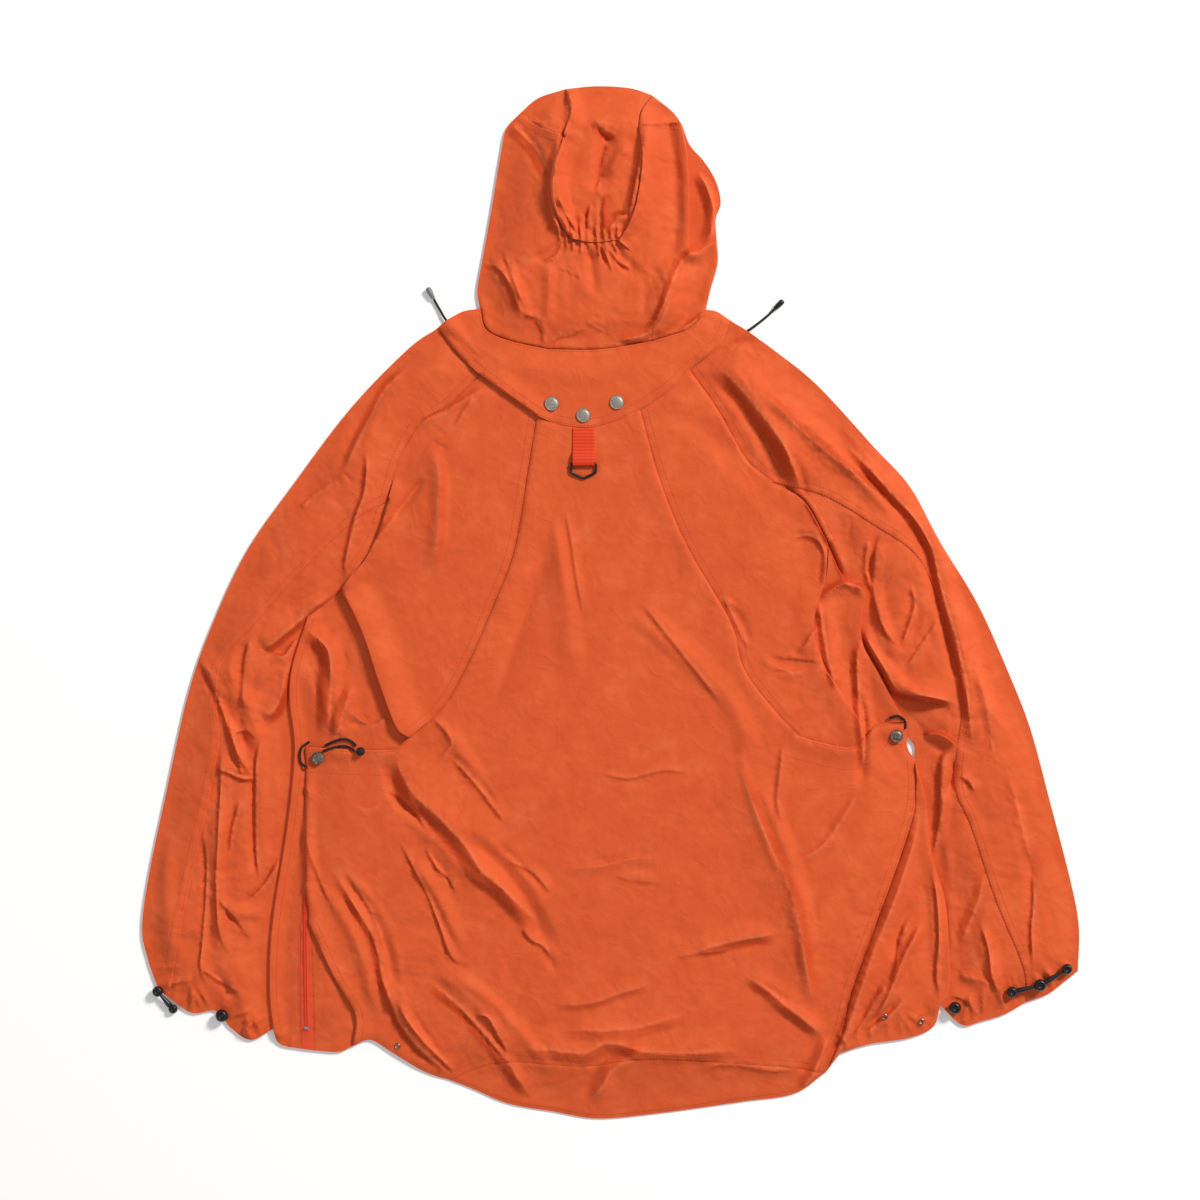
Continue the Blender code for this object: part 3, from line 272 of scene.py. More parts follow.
SEAMS.update({
    # front layer
    "front_raglan_left": [(438, 327), (404, 430), (372, 520), (341, 590)],
    "front_raglan_right": [(731, 320), (764, 400), (800, 480), (829, 545)],
    "front_neck_left": [(480, 308), (500, 332), (548, 345), (596, 349)],
    "front_neck_zip": [(596, 349), (622, 347)],
    "front_neck_right": [(622, 347), (664, 338), (690, 326), (706, 309)],
    "front_zip_left": [(596, 349), (596, 700), (596, FRONT_HEM_V)],
    "front_zip_right": [(622, 347), (622, 700), (622, FRONT_HEM_V)],
    "front_hem_left": [(392, 1054), (480, FRONT_HEM_V), (596, FRONT_HEM_V)],
    "front_hem_zip": [(596, FRONT_HEM_V), (622, FRONT_HEM_V)],
    "front_hem_right": [(622, FRONT_HEM_V), (750, FRONT_HEM_V), (841, 1054)],
})
print("seams and edges:", len(SEAMS))

# %% [markdown]
# ## Panels
# A panel is a closed ring of seams. Two neighbours name the same seam, so they can't drift apart.

# %% Panels
# Name, cloth group, height of its edge over the layer below, seams in order round it. A minus sign
# runs a seam backwards.
PANELS = [
    ("hood_left", "hood", 0.0, "hood_edge_left crown_left bulge_left nape_left -neck_left"),
    ("hood_crown_left", "hood", 0.0, "hood_top_left bulge_left_top -crown_left"),
    ("hood_centre", "hood", 1.5, "hood_top bulge_right_top bulge_right -gather -bulge_left"
        " -bulge_left_top"),
    ("hood_nape", "hood", 0.0, "gather nape_right -neck_nape -nape_left"),
    ("hood_crown_right", "hood", 0.0, "hood_top_right -crown_right -bulge_right_top"),
    ("hood_right", "hood", 0.0, "crown_right brim_seam hood_edge_right -neck_right -nape_right"
        " -bulge_right"),
    ("hood_brim", "brim", 0.0, "brim_edge -brim_seam"),
    ("yoke", "body", 2.4, "yoke_end_left yoke_left yoke_side_left yoke_centre yoke_side_right"
        " yoke_right -yoke_end_right -neck_right -neck_nape -neck_left"),
    ("back_side_left", "body", 0.8, "yoke_side_left princess_left -underarm_left -raglan_left_low"
        " -raglan_left"),
    ("back_centre", "body", 1.6, "yoke_centre princess_right pocket_right pocket_end_right"
        " body_edge_right_top gap_body overlay_right -hem_seam -hem_tail_left -hem_pocket_left"
        " -overlay_left_low -overlay_left_zip -overlay_left -pocket_left -princess_left"),
    ("back_side_right", "body", 0.8, "yoke_side_right raglan_right raglan_right_low underarm_right"
        " -pocket_right -princess_right"),
    ("underarm_panel_right", "body", 0.0, "underarm_edge_right -pocket_end_right -underarm_right"),
    ("side_left", "body", 0.0, "underarm_left pocket_left overlay_left zip_left -hem_side_left"
        " -body_edge_left -underarm_top_left"),
    ("side_zip_tape", "body", 0.6, "overlay_left_zip zip_right -hem_zip_left -zip_left"),
    ("side_gusset_left", "body", 0.0, "overlay_left_low -hem_gusset_left -zip_right"),
    ("side_right", "body", 0.0, "body_edge_right -hem_side_right -hem_tail_right -overlay_right"),
    ("hem_band", "body", 1.0, "hem_seam -hem_tail"),
    ("sleeve_left_outer", "sleeve_left", 0.0, "yoke_left raglan_left sleeve_seam_left -cuff_left_outer"
        " -sleeve_edge_left"),
    ("sleeve_left_inner", "sleeve_left", 0.0, "raglan_left_low underarm_top_left body_edge_left"
        " -cuff_left_inner -sleeve_seam_left"),
    ("sleeve_right_outer", "sleeve_right", 0.0, "sleeve_edge_right cuff_right_outer -sleeve_seam_right"
        " -raglan_right yoke_right"),
    ("sleeve_right_inner", "sleeve_right", 0.0, "sleeve_seam_right cuff_right_inner -body_edge_right"
        " -gap_sleeve -body_edge_right_top -underarm_edge_right -raglan_right_low"),
]
print("back panels:", len(PANELS))

# %% Front panels
# Flat on the table: name, seams in order round it.
FRONT_PANELS = [
    ("hood_front", "hood_edge_left hood_top_left hood_top hood_top_right brim_edge hood_edge_right"
        " -front_neck_right -front_neck_zip -front_neck_left"),
    ("front_left", "front_neck_left front_zip_left -front_hem_left -hem_pocket_left -hem_gusset_left"
        " -hem_zip_left -hem_side_left -body_edge_left -underarm_top_left -front_raglan_left"
        " -yoke_end_left"),
    ("front_zip_strip", "front_neck_zip front_zip_right -front_hem_zip -front_zip_left"),
    ("front_right", "front_neck_right yoke_end_right front_raglan_right underarm_edge_right"
        " body_edge_right_top gap_body body_edge_right -hem_side_right -front_hem_right"
        " -front_zip_right"),
    ("sleeve_left_front", "front_raglan_left underarm_top_left body_edge_left -cuff_left_inner"
        " -cuff_left_outer -sleeve_edge_left"),
    ("sleeve_right_front", "sleeve_edge_right cuff_right_outer cuff_right_inner -body_edge_right"
        " -gap_sleeve -body_edge_right_top -underarm_edge_right -front_raglan_right"),
]
print("front panels:", len(FRONT_PANELS))

# %% Cloth groups
# Loft of each cloth group: height of the trapped air and slack, and the width it rises over.
LOFT = {"hood": (11.0, 45.0), "brim": (1.0, 20.0), "body": (7.5, 60.0), "sleeve_left": (8.0, 38.0),
        "sleeve_right": (8.0, 38.0)}
GROUP_OUTLINES = {
    "hood": "hood_edge_left hood_top_left hood_top hood_top_right brim_seam hood_edge_right -neck_right"
        " -neck_nape -neck_left",
    "brim": "brim_edge -brim_seam",
    "body": "yoke_end_left yoke_left raglan_left raglan_left_low underarm_top_left body_edge_left"
        " hem_side_left hem_zip_left hem_gusset_left hem_pocket_left hem_tail_left hem_tail"
        " hem_tail_right hem_side_right -body_edge_right -gap_body -body_edge_right_top"
        " -underarm_edge_right -raglan_right_low -raglan_right yoke_right -yoke_end_right -neck_right"
        " -neck_nape -neck_left",
    "sleeve_left": "yoke_left raglan_left raglan_left_low underarm_top_left body_edge_left"
        " -cuff_left_inner -cuff_left_outer -sleeve_edge_left",
    "sleeve_right": "sleeve_edge_right cuff_right_outer cuff_right_inner -body_edge_right -gap_sleeve"
        " -body_edge_right_top -underarm_edge_right -raglan_right_low -raglan_right yoke_right",
}
# Where two groups meet on a sewn seam, the cloth runs on level, so the loft doesn't fall there.
LEVEL_SEAMS = ["neck_left", "neck_nape", "neck_right", "yoke_left", "yoke_right", "raglan_left",
               "raglan_left_low", "raglan_right", "raglan_right_low"]
LEVEL_LOFT = 3.0  # loft on a sewn seam between two groups
LEVEL_WIDTH = 30.0  # distance from such a seam over which the loft rises again
print("cloth groups:", len(LOFT))

# %% [markdown]
# ## Folds, tucks and creases
# The broad folds of the lay are short curved lines: a height, which is negative for a trough, and a
# half width to each side. They are the same as in the plain solids.

# %% Folds
# Cloth group, start, bend and end, height, half widths on the left and on the right of the line,
# looking from its start to its end.
FOLDS = rows("""
# hood: the pushed-out centre between its gathers, and the creases that fan from them
hood 572,100 556,170 578,236 9 9 26
hood 648,104 640,170 622,236 8 24 8
hood 612,120 603,160 598,196 -8 12 12
hood 630,140 618,160 603,180 5 8 8
hood 572,244 552,254 530,262 -4 7 7
hood 590,246 592,270 596,300 -4 8 8
hood 612,246 626,262 640,276 -4 7 7
hood 514,124 540,150 550,190 -6 16 16
hood 486,262 508,282 526,322 5 9 12
hood 548,262 549,290 546,330 4 8 8
hood 678,130 686,190 688,246 6 14 6
hood 708,246 676,262 656,322 7 8 14
hood 700,300 676,330 640,344 -5 8 10
brim 706,170 712,200 706,232 4 8 8
# yoke and shoulders
body 500,356 560,372 600,366 2 18 18
body 649,408 716,440 772,506 -3 18 16
sleeve_left 415,363 372,404 346,465 -5 14 14
sleeve_left 436,440 440,500 431,572 5 12 12
body 431,441 441,500 431,572 5 10 12
body 424,480 408,500 389,524 -4 7 7
# back centre
body 553,512 566,600 576,694 4 14 20
body 553,529 524,620 488,716 -3 16 16
body 627,610 722,690 748,775 4 16 14
body 744,760 794,880 812,1010 6 14 12
body 725,602 742,624 747,649 -5 7 10
body 767,660 792,664 820,663 -3 7 7
body 442,716 462,752 487,790 5 12 14
body 392,758 404,800 452,835 -9 13 12
body 446,830 512,880 553,966 -9 13 12
body 400,776 430,832 500,900 5 8 14
body 409,857 440,900 462,964 5 12 10
body 332,868 380,930 392,1002 -9 9 12
body 388,990 404,1040 440,1070 -7 12 14
body 318,880 360,950 376,1030 5 9 10
body 426,978 470,1014 547,1095 -8 12 12
body 444,972 500,1010 566,1090 5 10 12
body 694,950 735,945 776,936 -3 8 8
body 584,1050 640,1024 694,1011 -2 10 10
body 581,1100 606,1070 648,1044 -4 8 8
body 759,1001 795,1012 823,1037 4 9 9
body 802,1078 820,1060 858,1038 -4 8 8
body 800,980 826,900 860,850 3 14 14
# right side and pocket
body 851,680 864,730 858,796 -7 7 9
body 846,590 868,600 860,636 5 8 8
body 922,898 898,930 897,961 -5 7 7
body 927,921 896,970 866,1030 6 9 9
body 902,999 876,1020 849,1045 -5 7 7
body 930,870 936,920 936,980 5 7 8
# left side
body 372,560 330,600 310,622 5 12 12
body 300,640 312,656 330,664 -6 12 12
body 327,665 330,701 327,745 -6 7 7
body 357,685 341,706 336,739 4 8 8
body 310,800 308,860 310,916 3 7 8
# left sleeve
sleeve_left 386,532 330,600 262,650 8 13 15
sleeve_left 351,480 327,488 301,505 -4 9 9
sleeve_left 199,660 230,716 254,776 -9 12 10
sleeve_left 216,652 248,706 262,760 6 10 12
sleeve_left 258,745 254,820 260,884 -7 9 9
sleeve_left 275,865 262,892 238,904 -6 9 9
sleeve_left 204,835 210,900 203,980 -6 9 9
sleeve_left 224,786 216,880 230,960 6 9 11
sleeve_left 242,802 232,830 234,862 -5 8 8
sleeve_left 220,898 248,914 270,902 5 9 9
sleeve_left 244,636 240,670 244,704 -4 9 9
sleeve_left 300,638 279,663 252,688 6 9 10
sleeve_left 172,830 166,900 178,980 4 12 12
sleeve_left 205,968 222,982 236,1010 -5 9 9
# right sleeve
sleeve_right 712,362 756,420 790,490 -9 10 14
sleeve_right 751,387 830,446 905,520 7 14 12
sleeve_right 829,422 870,480 915,520 -9 12 9
sleeve_right 915,520 940,600 962,697 -9 12 9
sleeve_right 844,430 920,490 962,610 6 10 12
sleeve_right 884,534 870,560 876,592 -6 8 8
sleeve_right 877,577 884,630 906,664 6 9 10
sleeve_right 911,585 916,620 900,646 -5 8 8
sleeve_right 863,636 884,690 950,706 -9 10 11
sleeve_right 879,652 906,688 962,701 6 9 9
sleeve_right 908,724 930,742 956,748 -8 9 9
sleeve_right 944,756 944,800 936,846 6 8 8
sleeve_right 956,751 952,780 940,800 -5 7 7
sleeve_right 974,662 982,690 1000,740 5 12 12
sleeve_right 1006,764 1030,850 1034,965 -4 12 12
sleeve_right 984,875 976,910 962,942 -5 9 9
sleeve_right 980,926 988,960 1002,1000 4 9 9
sleeve_right 951,830 947,870 956,930 4 9 9
""")
# Raised tunnels over the hood's drawcords, which keep their height right to the shoulder edge.
TUNNELS = rows("""
all 482,357 463,338 443.5,319 5.2 13 13
all 698,356 724,343 752,329 5.2 13 13
""")
print("folds:", len(FOLDS), "tunnels:", len(TUNNELS))

# %% [markdown]
# Finer creases fan out from the gathers, the armpits and the hem. Each was placed one by one,
# because creases that repeat look printed.

# %% Creases
CREASES = rows("""
# hood: pleats drawn in by the elastic, and the creases that fan from it
hood 560,242 546,251 528,261 -2.5 4 4
hood 566,246 556,260 545,264 -3 4 4
hood 588,244 590,254 591,266 -2.5 3.5 3.5
hood 600,244 603,258 608,268 -3 3.5 3.5
hood 604,244 610,260 614,274 -3 3.5 4
hood 608,250 620,266 632,274 -3 4 4
hood 556,268 568,271 580,278 -2 4 4
hood 556,196 560,220 569,238 -4 3 3
hood 563,206 569,224 575,238 -3.5 3 3
hood 588,205 586,222 590,240 -4 3 3
hood 603,192 600,216 604,240 -7 4 4
hood 612,230 616,217 631,217 -5 4 4
hood 617,236 627,224 633,198 -3 3 3
hood 576,214 578,228 580,240 -2.5 3 3
hood 596,121 603,136 617,136 -5 6 4
hood 608,144 602,160 598,192 -3 4 4
hood 631,149 616,160 602,177 2.5 4 4
hood 638,154 620,168 606,186 -1.5 2.5 2.5
hood 512,122 534,146 550,184 -3.5 6 9
hood 481,262 500,272 520,314 -3 6 6
hood 504,251 512,280 526,319 -2.5 5 5
hood 528,315 538,324 544,342 -3 4 4
hood 700,248 682,260 672,286 -4 4 5
hood 672,294 662,322 640,342 -4 5 5
hood 588,322 600,328 610,334 -1.5 3 3
hood 548,348 560,338 578,331 -1.8 3 3
hood 706,312 692,324 682,330 -4 4 4
hood 612,342 640,342 662,330 -4 4 5
hood 640,262 645,300 640,322 -1.2 6 6
hood 650,264 660,280 664,296 -1.5 5 5
hood 522,104 532,99 548,98 -1.5 4 4
hood 645,112 656,116 664,116 -1.2 3 3
hood 655,163 666,162 678,166 -1 3 3
# body
body 431,439 440,446 449,447 -1.5 3 3
body 431,425 440,432 447,436 -1.2 3 3
body 469,407 461,420 453,431 -1.5 3 3
body 426,479 412,492 389,524 -2.5 5 5
body 553,512 560,555 569,613 1.5 5 9
body 537,579 523,621 488,716 -1.2 8 8
body 627,610 666,646 722,705 1.5 8 8
body 736,736 759,820 786,887 2.5 7 8
body 786,887 800,945 812,1010 2.5 7 8
body 722,593 734,600 742,607 -1.5 3 3
body 772,658 796,661 820,663 -1.8 3 3
body 767,672 788,672 806,670 -1.5 3 3
body 792,539 806,534 820,541 -2.5 4 4
body 476,644 496,641 516,634 -0.8 3 3
body 467,665 482,663 495,658 -0.8 3 3
body 453,694 468,688 484,680 -0.8 3 3
body 442,716 454,742 438,760 -1.5 4 4
body 448,756 467,772 484,792 -2 4 5
body 448,755 474,774 506,824 -2.5 5 5
body 492,838 520,863 547,890 -2.5 5 6
body 409,857 440,915 464,964 -3 5 5
body 426,847 442,868 455,893 -2.5 4 4
body 381,790 404,804 420,824 -2.5 5 5
body 349,801 365,808 379,806 -1.5 4 4
body 547,948 551,960 553,972 -2 5 5
body 404,1000 430,1040 450,1066 -3 5 6
body 449,1001 489,1044 520,1078 -3 5 5
body 526,1096 527,1104 528,1112 -2 4 4
body 676,1056 700,1048 722,1044 -1.5 4 4
body 618,875 636,881 661,881 -1.2 4 4
body 596,864 613,860 630,856 -1 4 4
body 633,872 646,868 658,864 -1 4 4
body 753,976 777,994 796,1004 -1.5 4 4
body 887,984 869,1007 861,1032 -3 4 5
body 909,916 899,941 897,965 -3 4 4
body 933,888 937,930 935,984 -2.5 3 4
body 346,720 365,726 384,721 -2 4 4
body 343,701 340,726 334,739 -3 4 4
body 354,903 373,941 385,990 -4 5 5
body 863,700 866,730 862,780 -3 3 4
body 835,592 848,586 858,578 -2.5 4 4
body 822,600 826,640 831,675 -3 4 4
# left sleeve
sleeve_left 343,471 348,478 354,484 -1.5 3 3
sleeve_left 399,372 378,398 357,444 -2.5 6 6
sleeve_left 205,969 220,980 234,991 -2 4 4
sleeve_left 255,631 272,654 301,636 -2.5 5 5
sleeve_left 283,709 268,718 253,726 -1.8 4 4
sleeve_left 217,768 238,774 256,779 -3 4 4
sleeve_left 224,911 239,925 253,943 -2.5 4 4
sleeve_left 219,851 219,892 222,933 -2.5 4 5
sleeve_left 247,636 242,673 242,700 -2 4 4
sleeve_left 186,1003 190,985 196,960 -1.5 4 4
# right sleeve
sleeve_right 850,513 850,526 849,539 -1.5 3 3
sleeve_right 874,550 871,571 874,592 -2.5 4 4
sleeve_right 935,625 919,646 906,670 -2 4 4
sleeve_right 913,614 905,632 901,645 -2.5 4 4
sleeve_right 861,633 870,664 895,694 -3 4 4
sleeve_right 895,694 920,702 951,706 -3.5 4 4
sleeve_right 904,730 914,722 925,738 -3 4 4
sleeve_right 922,753 932,747 942,753 -2 3 3
sleeve_right 950,756 953,776 942,799 -2.5 4 4
sleeve_right 958,775 964,781 972,790 -1.5 3 3
sleeve_right 1018,832 1030,868 1034,895 -1.5 5 5
sleeve_right 950,997 965,1002 980,1016 -2.5 4 4
sleeve_right 958,974 969,978 981,981 1.5 4 4
sleeve_right 783,486 797,496 812,516 -4 4 5
sleeve_right 786,450 800,470 806,500 -3 5 6
""")
print("creases:", len(CREASES))

# %% [markdown]
# A tuck is what tells shell cloth from a blanket: the cloth runs up gently to a sharp crest and drops
# steeply behind it. Its row has the cloth group, the height, the widths of the gentle and of the
# steep side, and the points of the crest. The steep side is on the right, looking along the points.

# %% Tucks
TUCKS = rows("""
# hood
hood 5.5 16 10 508,121 525,136 540,155 551,180
hood 3 20 4 567,90 569,110 567,128 563,140
hood 5.5 20 7 563,140 555,162 551,180 551,205 556,226 563,238
hood 2.4 5 2.5 554,205 561,222 571,237
hood 2.4 5 2.5 558,199 567,217 579,235
hood 4 14 7 595,120 603,131 617,137
hood 3 9 4 609,142 603,160 600,180 597,196
hood 2.6 7 2.5 592,203 588,220 588,240 591,258
hood 5 7 8 608,241 601,225 601,203 603,190
hood 3.2 16 3 641,140 640,160 636,182 632,204 628,222 617,240
hood 4 8 6 629,217 617,218 609,233
hood 4.5 18 6 712,240 702,247 690,254 680,263 672,282 665,302 656,320 646,334
hood 4 12 8 672,292 665,312 655,328 638,337 612,341
hood 4.5 14 6 480,261 496,266 506,277 514,292 519,307 524,318
hood 3 8 4 503,250 511,272 518,292 525,308
hood 3.2 9 4 522,313 534,318 542,331 545,346
hood 2.6 8 3 563,243 556,256 543,263
hood 1.8 7 3 556,268 568,271 582,278
hood 3 7 3 601,243 607,258 614,273
hood 2.6 7 3 608,247 619,262 634,270
hood 2 9 3 548,346 558,337 572,334 585,327
hood 1.6 9 3 585,321 598,328 612,334
hood 3.5 8 4 706,311 694,321 681,330
brim 6 6 9 697,168 707,188 713,208 713,226 704,246
hood 2 10 2.5 566,139 545,126 519,112
hood 2 10 2.5 638,127 655,124 682,122
# hood: pleats drawn in by the elastic
hood 2.6 4 2.5 554,219 559,232 560,244
hood 2.6 4 2.5 561,226 566,237 567,250
hood 2.6 4 2.5 570,224 573,238 573,253
hood 2.6 4 2.5 579,220 581,237 581,256
hood 2.6 4 2.5 595,224 597,240 600,261
hood 2.6 4 2.5 602,226 605,241 609,263
hood 2.6 4 2.5 610,228 612,241 619,256
hood 2.6 4 2.5 618,225 618,238 625,250
# raglan seams and shoulders
all 4.5 20 6 412,364 387,385 374,407 360,435 350,458 343,476
all 4.5 18 4 366,446 367,470 364,495 356,517 350,541 345,565 347,582
all 2.2 14 4 350,479 331,484 315,494 297,511
all 3 14 5 488,385 470,396 450,409 430,418 412,428
body 3 30 8 432,575 437,540 438,505 439,474 431,444
body 2.2 12 4 426,476 412,492 396,514 380,536 360,560
body 2.2 9 4 474,396 464,412 455,428
all 9 28 12 712,362 738,387 757,411 777,437 787,454 795,474 804,494
all 7 20 5 800,490 814,511 826,534 837,558 848,584
sleeve_right 8.5 24 7 832,430 856,455 873,473 890,493 908,511 922,530 932,550 938,576 945,606 955,640
962,675 967,705 971,735 973,758
sleeve_right 3.5 16 6 905,517 880,496 850,471 822,449 798,428 772,402 750,385
all 1.8 12 4 770,361 757,351 735,347 722,350
# right armhole
body 3.6 12 4 790,538 807,535 818,540 825,555 824,575 821,590
body 5 16 5 818,600 822,625 827,655 836,692
body 5.5 9 6 868,594 851,583 835,588 819,601
body 6 15 6 861,636 857,660 858,690 860,722 863,750 864,778
sleeve_right 9.5 20 7 860,622 870,645 884,668 897,690 914,694 936,698 958,704
sleeve_right 3.4 10 4 869,540 866,568 873,594
sleeve_right 3.4 11 4 883,528 876,553 874,590 880,619 891,639 904,649
sleeve_right 4.2 12 4 911,583 915,604 909,625 901,648
sleeve_right 2.5 10 3 938,622 922,644 906,669
sleeve_right 6 15 5 958,749 946,738 933,734 921,739
sleeve_right 4 12 4 957,748 944,757 941,780 941,808 938,835 933,862
sleeve_right 3 10 4 958,776 968,780 975,792
body 2.6 12 4 821,626 812,634 806,645 797,652
body 2.6 12 4 722,594 731,612 741,634 750,650
body 2.2 12 4 806,671 790,672 773,664 760,657
body 1.8 12 4 822,662 800,659 776,657
# left sleeve and the deep fold under the arm
sleeve_left 5 18 6 258,654 280,638 304,617 330,596
sleeve_left 7 20 8 257,723 274,711 283,690 289,669 302,653 316,648
body 9 14 13 302,628 316,637 328,650 331,668 329,700 328,741
sleeve_left 3.5 9 3 300,636 292,645 283,657 270,652
sleeve_left 6.5 20 5 196,654 212,683 224,714 234,742 245,764 257,780
sleeve_left 4 9 3 228,716 236,745 243,777
sleeve_left 5 16 4 215,767 229,772 243,778 258,778
sleeve_left 5 15 3 263,738 257,760 256,800 256,850 260,884
sleeve_left 4.5 12 4 281,858 268,880 258,893 245,902
sleeve_left 4 13 3 203,825 207,860 206,900 203,940 201,968 208,987
sleeve_left 3.4 12 3 222,742 221,790 219,840 217,880 219,925 227,953
sleeve_left 3.6 12 4 241,800 233,828 230,856
sleeve_left 3 12 4 217,897 233,914 253,944
sleeve_left 3.4 10 4 202,968 217,979 238,992
sleeve_left 3.2 10 4 252,636 245,660 243,690 246,714
sleeve_left 3 8 3 233,733 247,730 256,738
sleeve_left 2.4 8 3 205,664 218,690 224,700
# body, lower left
body 9.5 42 15 392,745 402,774 416,797 437,815 460,838 473,856 482,871 501,886 521,906 536,921 547,938
body 3 12 4 522,925 530,938 545,947 553,962
body 7 24 6 331,866 345,889 360,913 373,936 379,957 383,978 391,1001 399,1022 415,1044 436,1064
456,1082
body 4 9 4 398,1000 408,1020 425,1042 444,1062 458,1076
body 6.5 24 9 424,976 440,990 458,1005 475,1023 494,1045 510,1066 523,1087 533,1103
body 4 10 4 474,1014 488,1016 498,1034 510,1054
body 3.4 12 3 399,838 415,869 428,894 440,925 450,953 463,966
body 2.8 10 3 425,845 437,867 449,878 457,894
body 3 12 4 448,755 464,770 478,786 490,802 507,824
body 2.4 10 4 508,860 527,868 541,880 552,893
body 2.4 10 4 386,790 402,798 416,812 430,832
body 1.8 9 4 380,806 365,809 350,802
body 4 16 8 353,688 346,703 340,722 336,741
body 2.6 12 4 390,716 372,725 356,716 349,706
body 2.2 9 4 430,716 444,728 452,744 438,762
body 2.2 9 3 303,786 309,792 308,800
# hem
body 5 24 11 515,1050 550,1049 584,1053 604,1043 625,1045 650,1052 690,1053 748,1049
body 5 14 12 648,1045 628,1058 610,1071 602,1087 588,1102
body 3.4 16 10 560,1030 600,1030 640,1027 690,1012
body 5 18 9 693,951 722,944 748,938 778,934
body 5 18 9 742,974 764,987 783,1003 802,1018 826,1038
body 4.5 12 9 828,1036 821,1056 812,1076 800,1090
body 4.5 34 9 816,1014 806,970 797,915 786,881 770,846 752,802 733,750
body 1.8 12 4 660,857 630,859 596,866 560,868
body 2 9 3 566,512 572,545 577,580 584,616
body 2.4 12 4 640,600 668,636 697,672 724,706
body 1.8 8 3 300,812 309,850 322,884 338,916
body 2.4 9 4 345,870 361,893 377,924 385,952
body 2.6 14 6 553,1005 590,1003 622,992 650,985
body 1.6 7 3 598,772 628,778 661,770 690,772
body 1.8 12 4 615,874 632,880 662,882
body 1.6 10 4 675,957 700,952 730,950
body 2 12 4 700,1074 720,1064 746,1066 775,1071 806,1066
# body, lower right, and right cuff
body 5 24 8 921,802 913,845 892,905 871,955 854,1008 840,1048 818,1082
body 2.6 12 4 783,742 780,770 777,800 782,822
body 2.6 14 6 858,790 842,818 820,848 792,862
body 4 8 3 932,868 937,900 939,940 937,975 941,1002
body 4 12 4 923,922 906,950 896,974 886,1000 874,1022
body 3.2 8 3 909,918 901,938 897,960 890,982
body 3.4 9 4 888,982 874,1001 864,1022 852,1040
body 3 12 4 905,1000 892,1014 877,1026 862,1036
sleeve_right 4.2 14 8 984,872 979,899 970,921 961,945
sleeve_right 4 13 3 980,922 988,950 991,975 1000,996
sleeve_right 3.2 12 3 1033,870 1034,900 1031,930 1033,968
sleeve_right 2.4 16 8 1007,768 1015,800 1026,842 1033,872
sleeve_right 2.4 12 4 992,985 976,978 957,973
sleeve_right 3 9 4 950,996 966,1001 981,1017
sleeve_right 3 9 3 943,880 949,915 950,950 951,985
sleeve_right 1.8 14 6 975,670 984,700 990,730 993,765
""")
print("tucks:", len(TUCKS))

# %% [markdown]
# Where one panel is sewn over its neighbour, its edge stands up as a roll. These rows hold the panel,
# the seam, the height of the roll and the width of its rise.

# %% Rolled edges
STEPS = rows("""
hood_centre bulge_left 4 18
hood_right bulge_right 4.5 20
hood_centre bulge_left_top 3 14
hood_crown_right bulge_right_top 3.5 14
hood_left crown_left 1.2 10
hood_right crown_right 1.2 10
hood_right brim_seam 8 14
hood_right hood_edge_right 2 12
hood_left neck_left 2 14
hood_nape neck_nape 2 14
hood_right neck_right 2.5 14
yoke yoke_side_left 4 20
yoke yoke_left 1 12
yoke yoke_right 1 12
back_side_left underarm_left 9 34
back_side_left raglan_left_low 5 26
sleeve_left_outer raglan_left 2 22
back_centre princess_left 1.6 30
back_centre princess_right 1.2 24
back_side_right underarm_right 3.5 26
back_side_right raglan_right 3 22
back_side_right raglan_right_low 4 22
underarm_panel_right underarm_edge_right 6 24
back_centre pocket_left 3 16
back_centre pocket_right 2.5 18
back_centre pocket_end_right 4 18
back_centre overlay_left 2.2 12
back_centre overlay_left_zip 2.6 14
back_centre overlay_left_low 3.2 18
side_right overlay_right 3.5 18
side_left body_edge_left 4.5 16
side_right body_edge_right 4.5 18
sleeve_left_inner underarm_top_left 3 14
hem_band hem_seam 0.6 10
sleeve_left_outer sleeve_seam_left 0.8 14
sleeve_right_outer sleeve_seam_right 1 14
""")
print("rolled edges:", len(STEPS))

# %% Crumpled and quiet places
# Where the cloth is more or less crumpled than the rest of its group: U, V, radius and amount.
CRUMPLED = rows("""
600 235 45 1.6
400 980 90 1.5
480 1060 80 1.4
330 690 45 1.6
255 700 55 1.6
225 900 60 1.4
905 640 60 1.5
930 740 50 1.7
985 960 50 1.2
870 960 70 1.3
590 560 90 0.25
640 720 110 0.3
470 520 70 0.3
700 980 90 0.5
590 385 60 0.25
440 800 60 1
820 700 45 1.1
800 460 50 1.1
""")
# Where trims lie on the cloth it is smooth: U, V and radius.
QUIET_SPOTS = [(552, 404, 9), (583.5, 415.5, 9), (617, 402.5, 9), (583.5, 440, 14), (583.5, 458, 18),
               (583.5, 474, 18), (318, 758, 8), (897, 736, 8), (397, 1047, 5), (885, 1017, 5), (922, 1022, 5)]
print("crumpled:", len(CRUMPLED), "quiet:", len(QUIET_SPOTS))

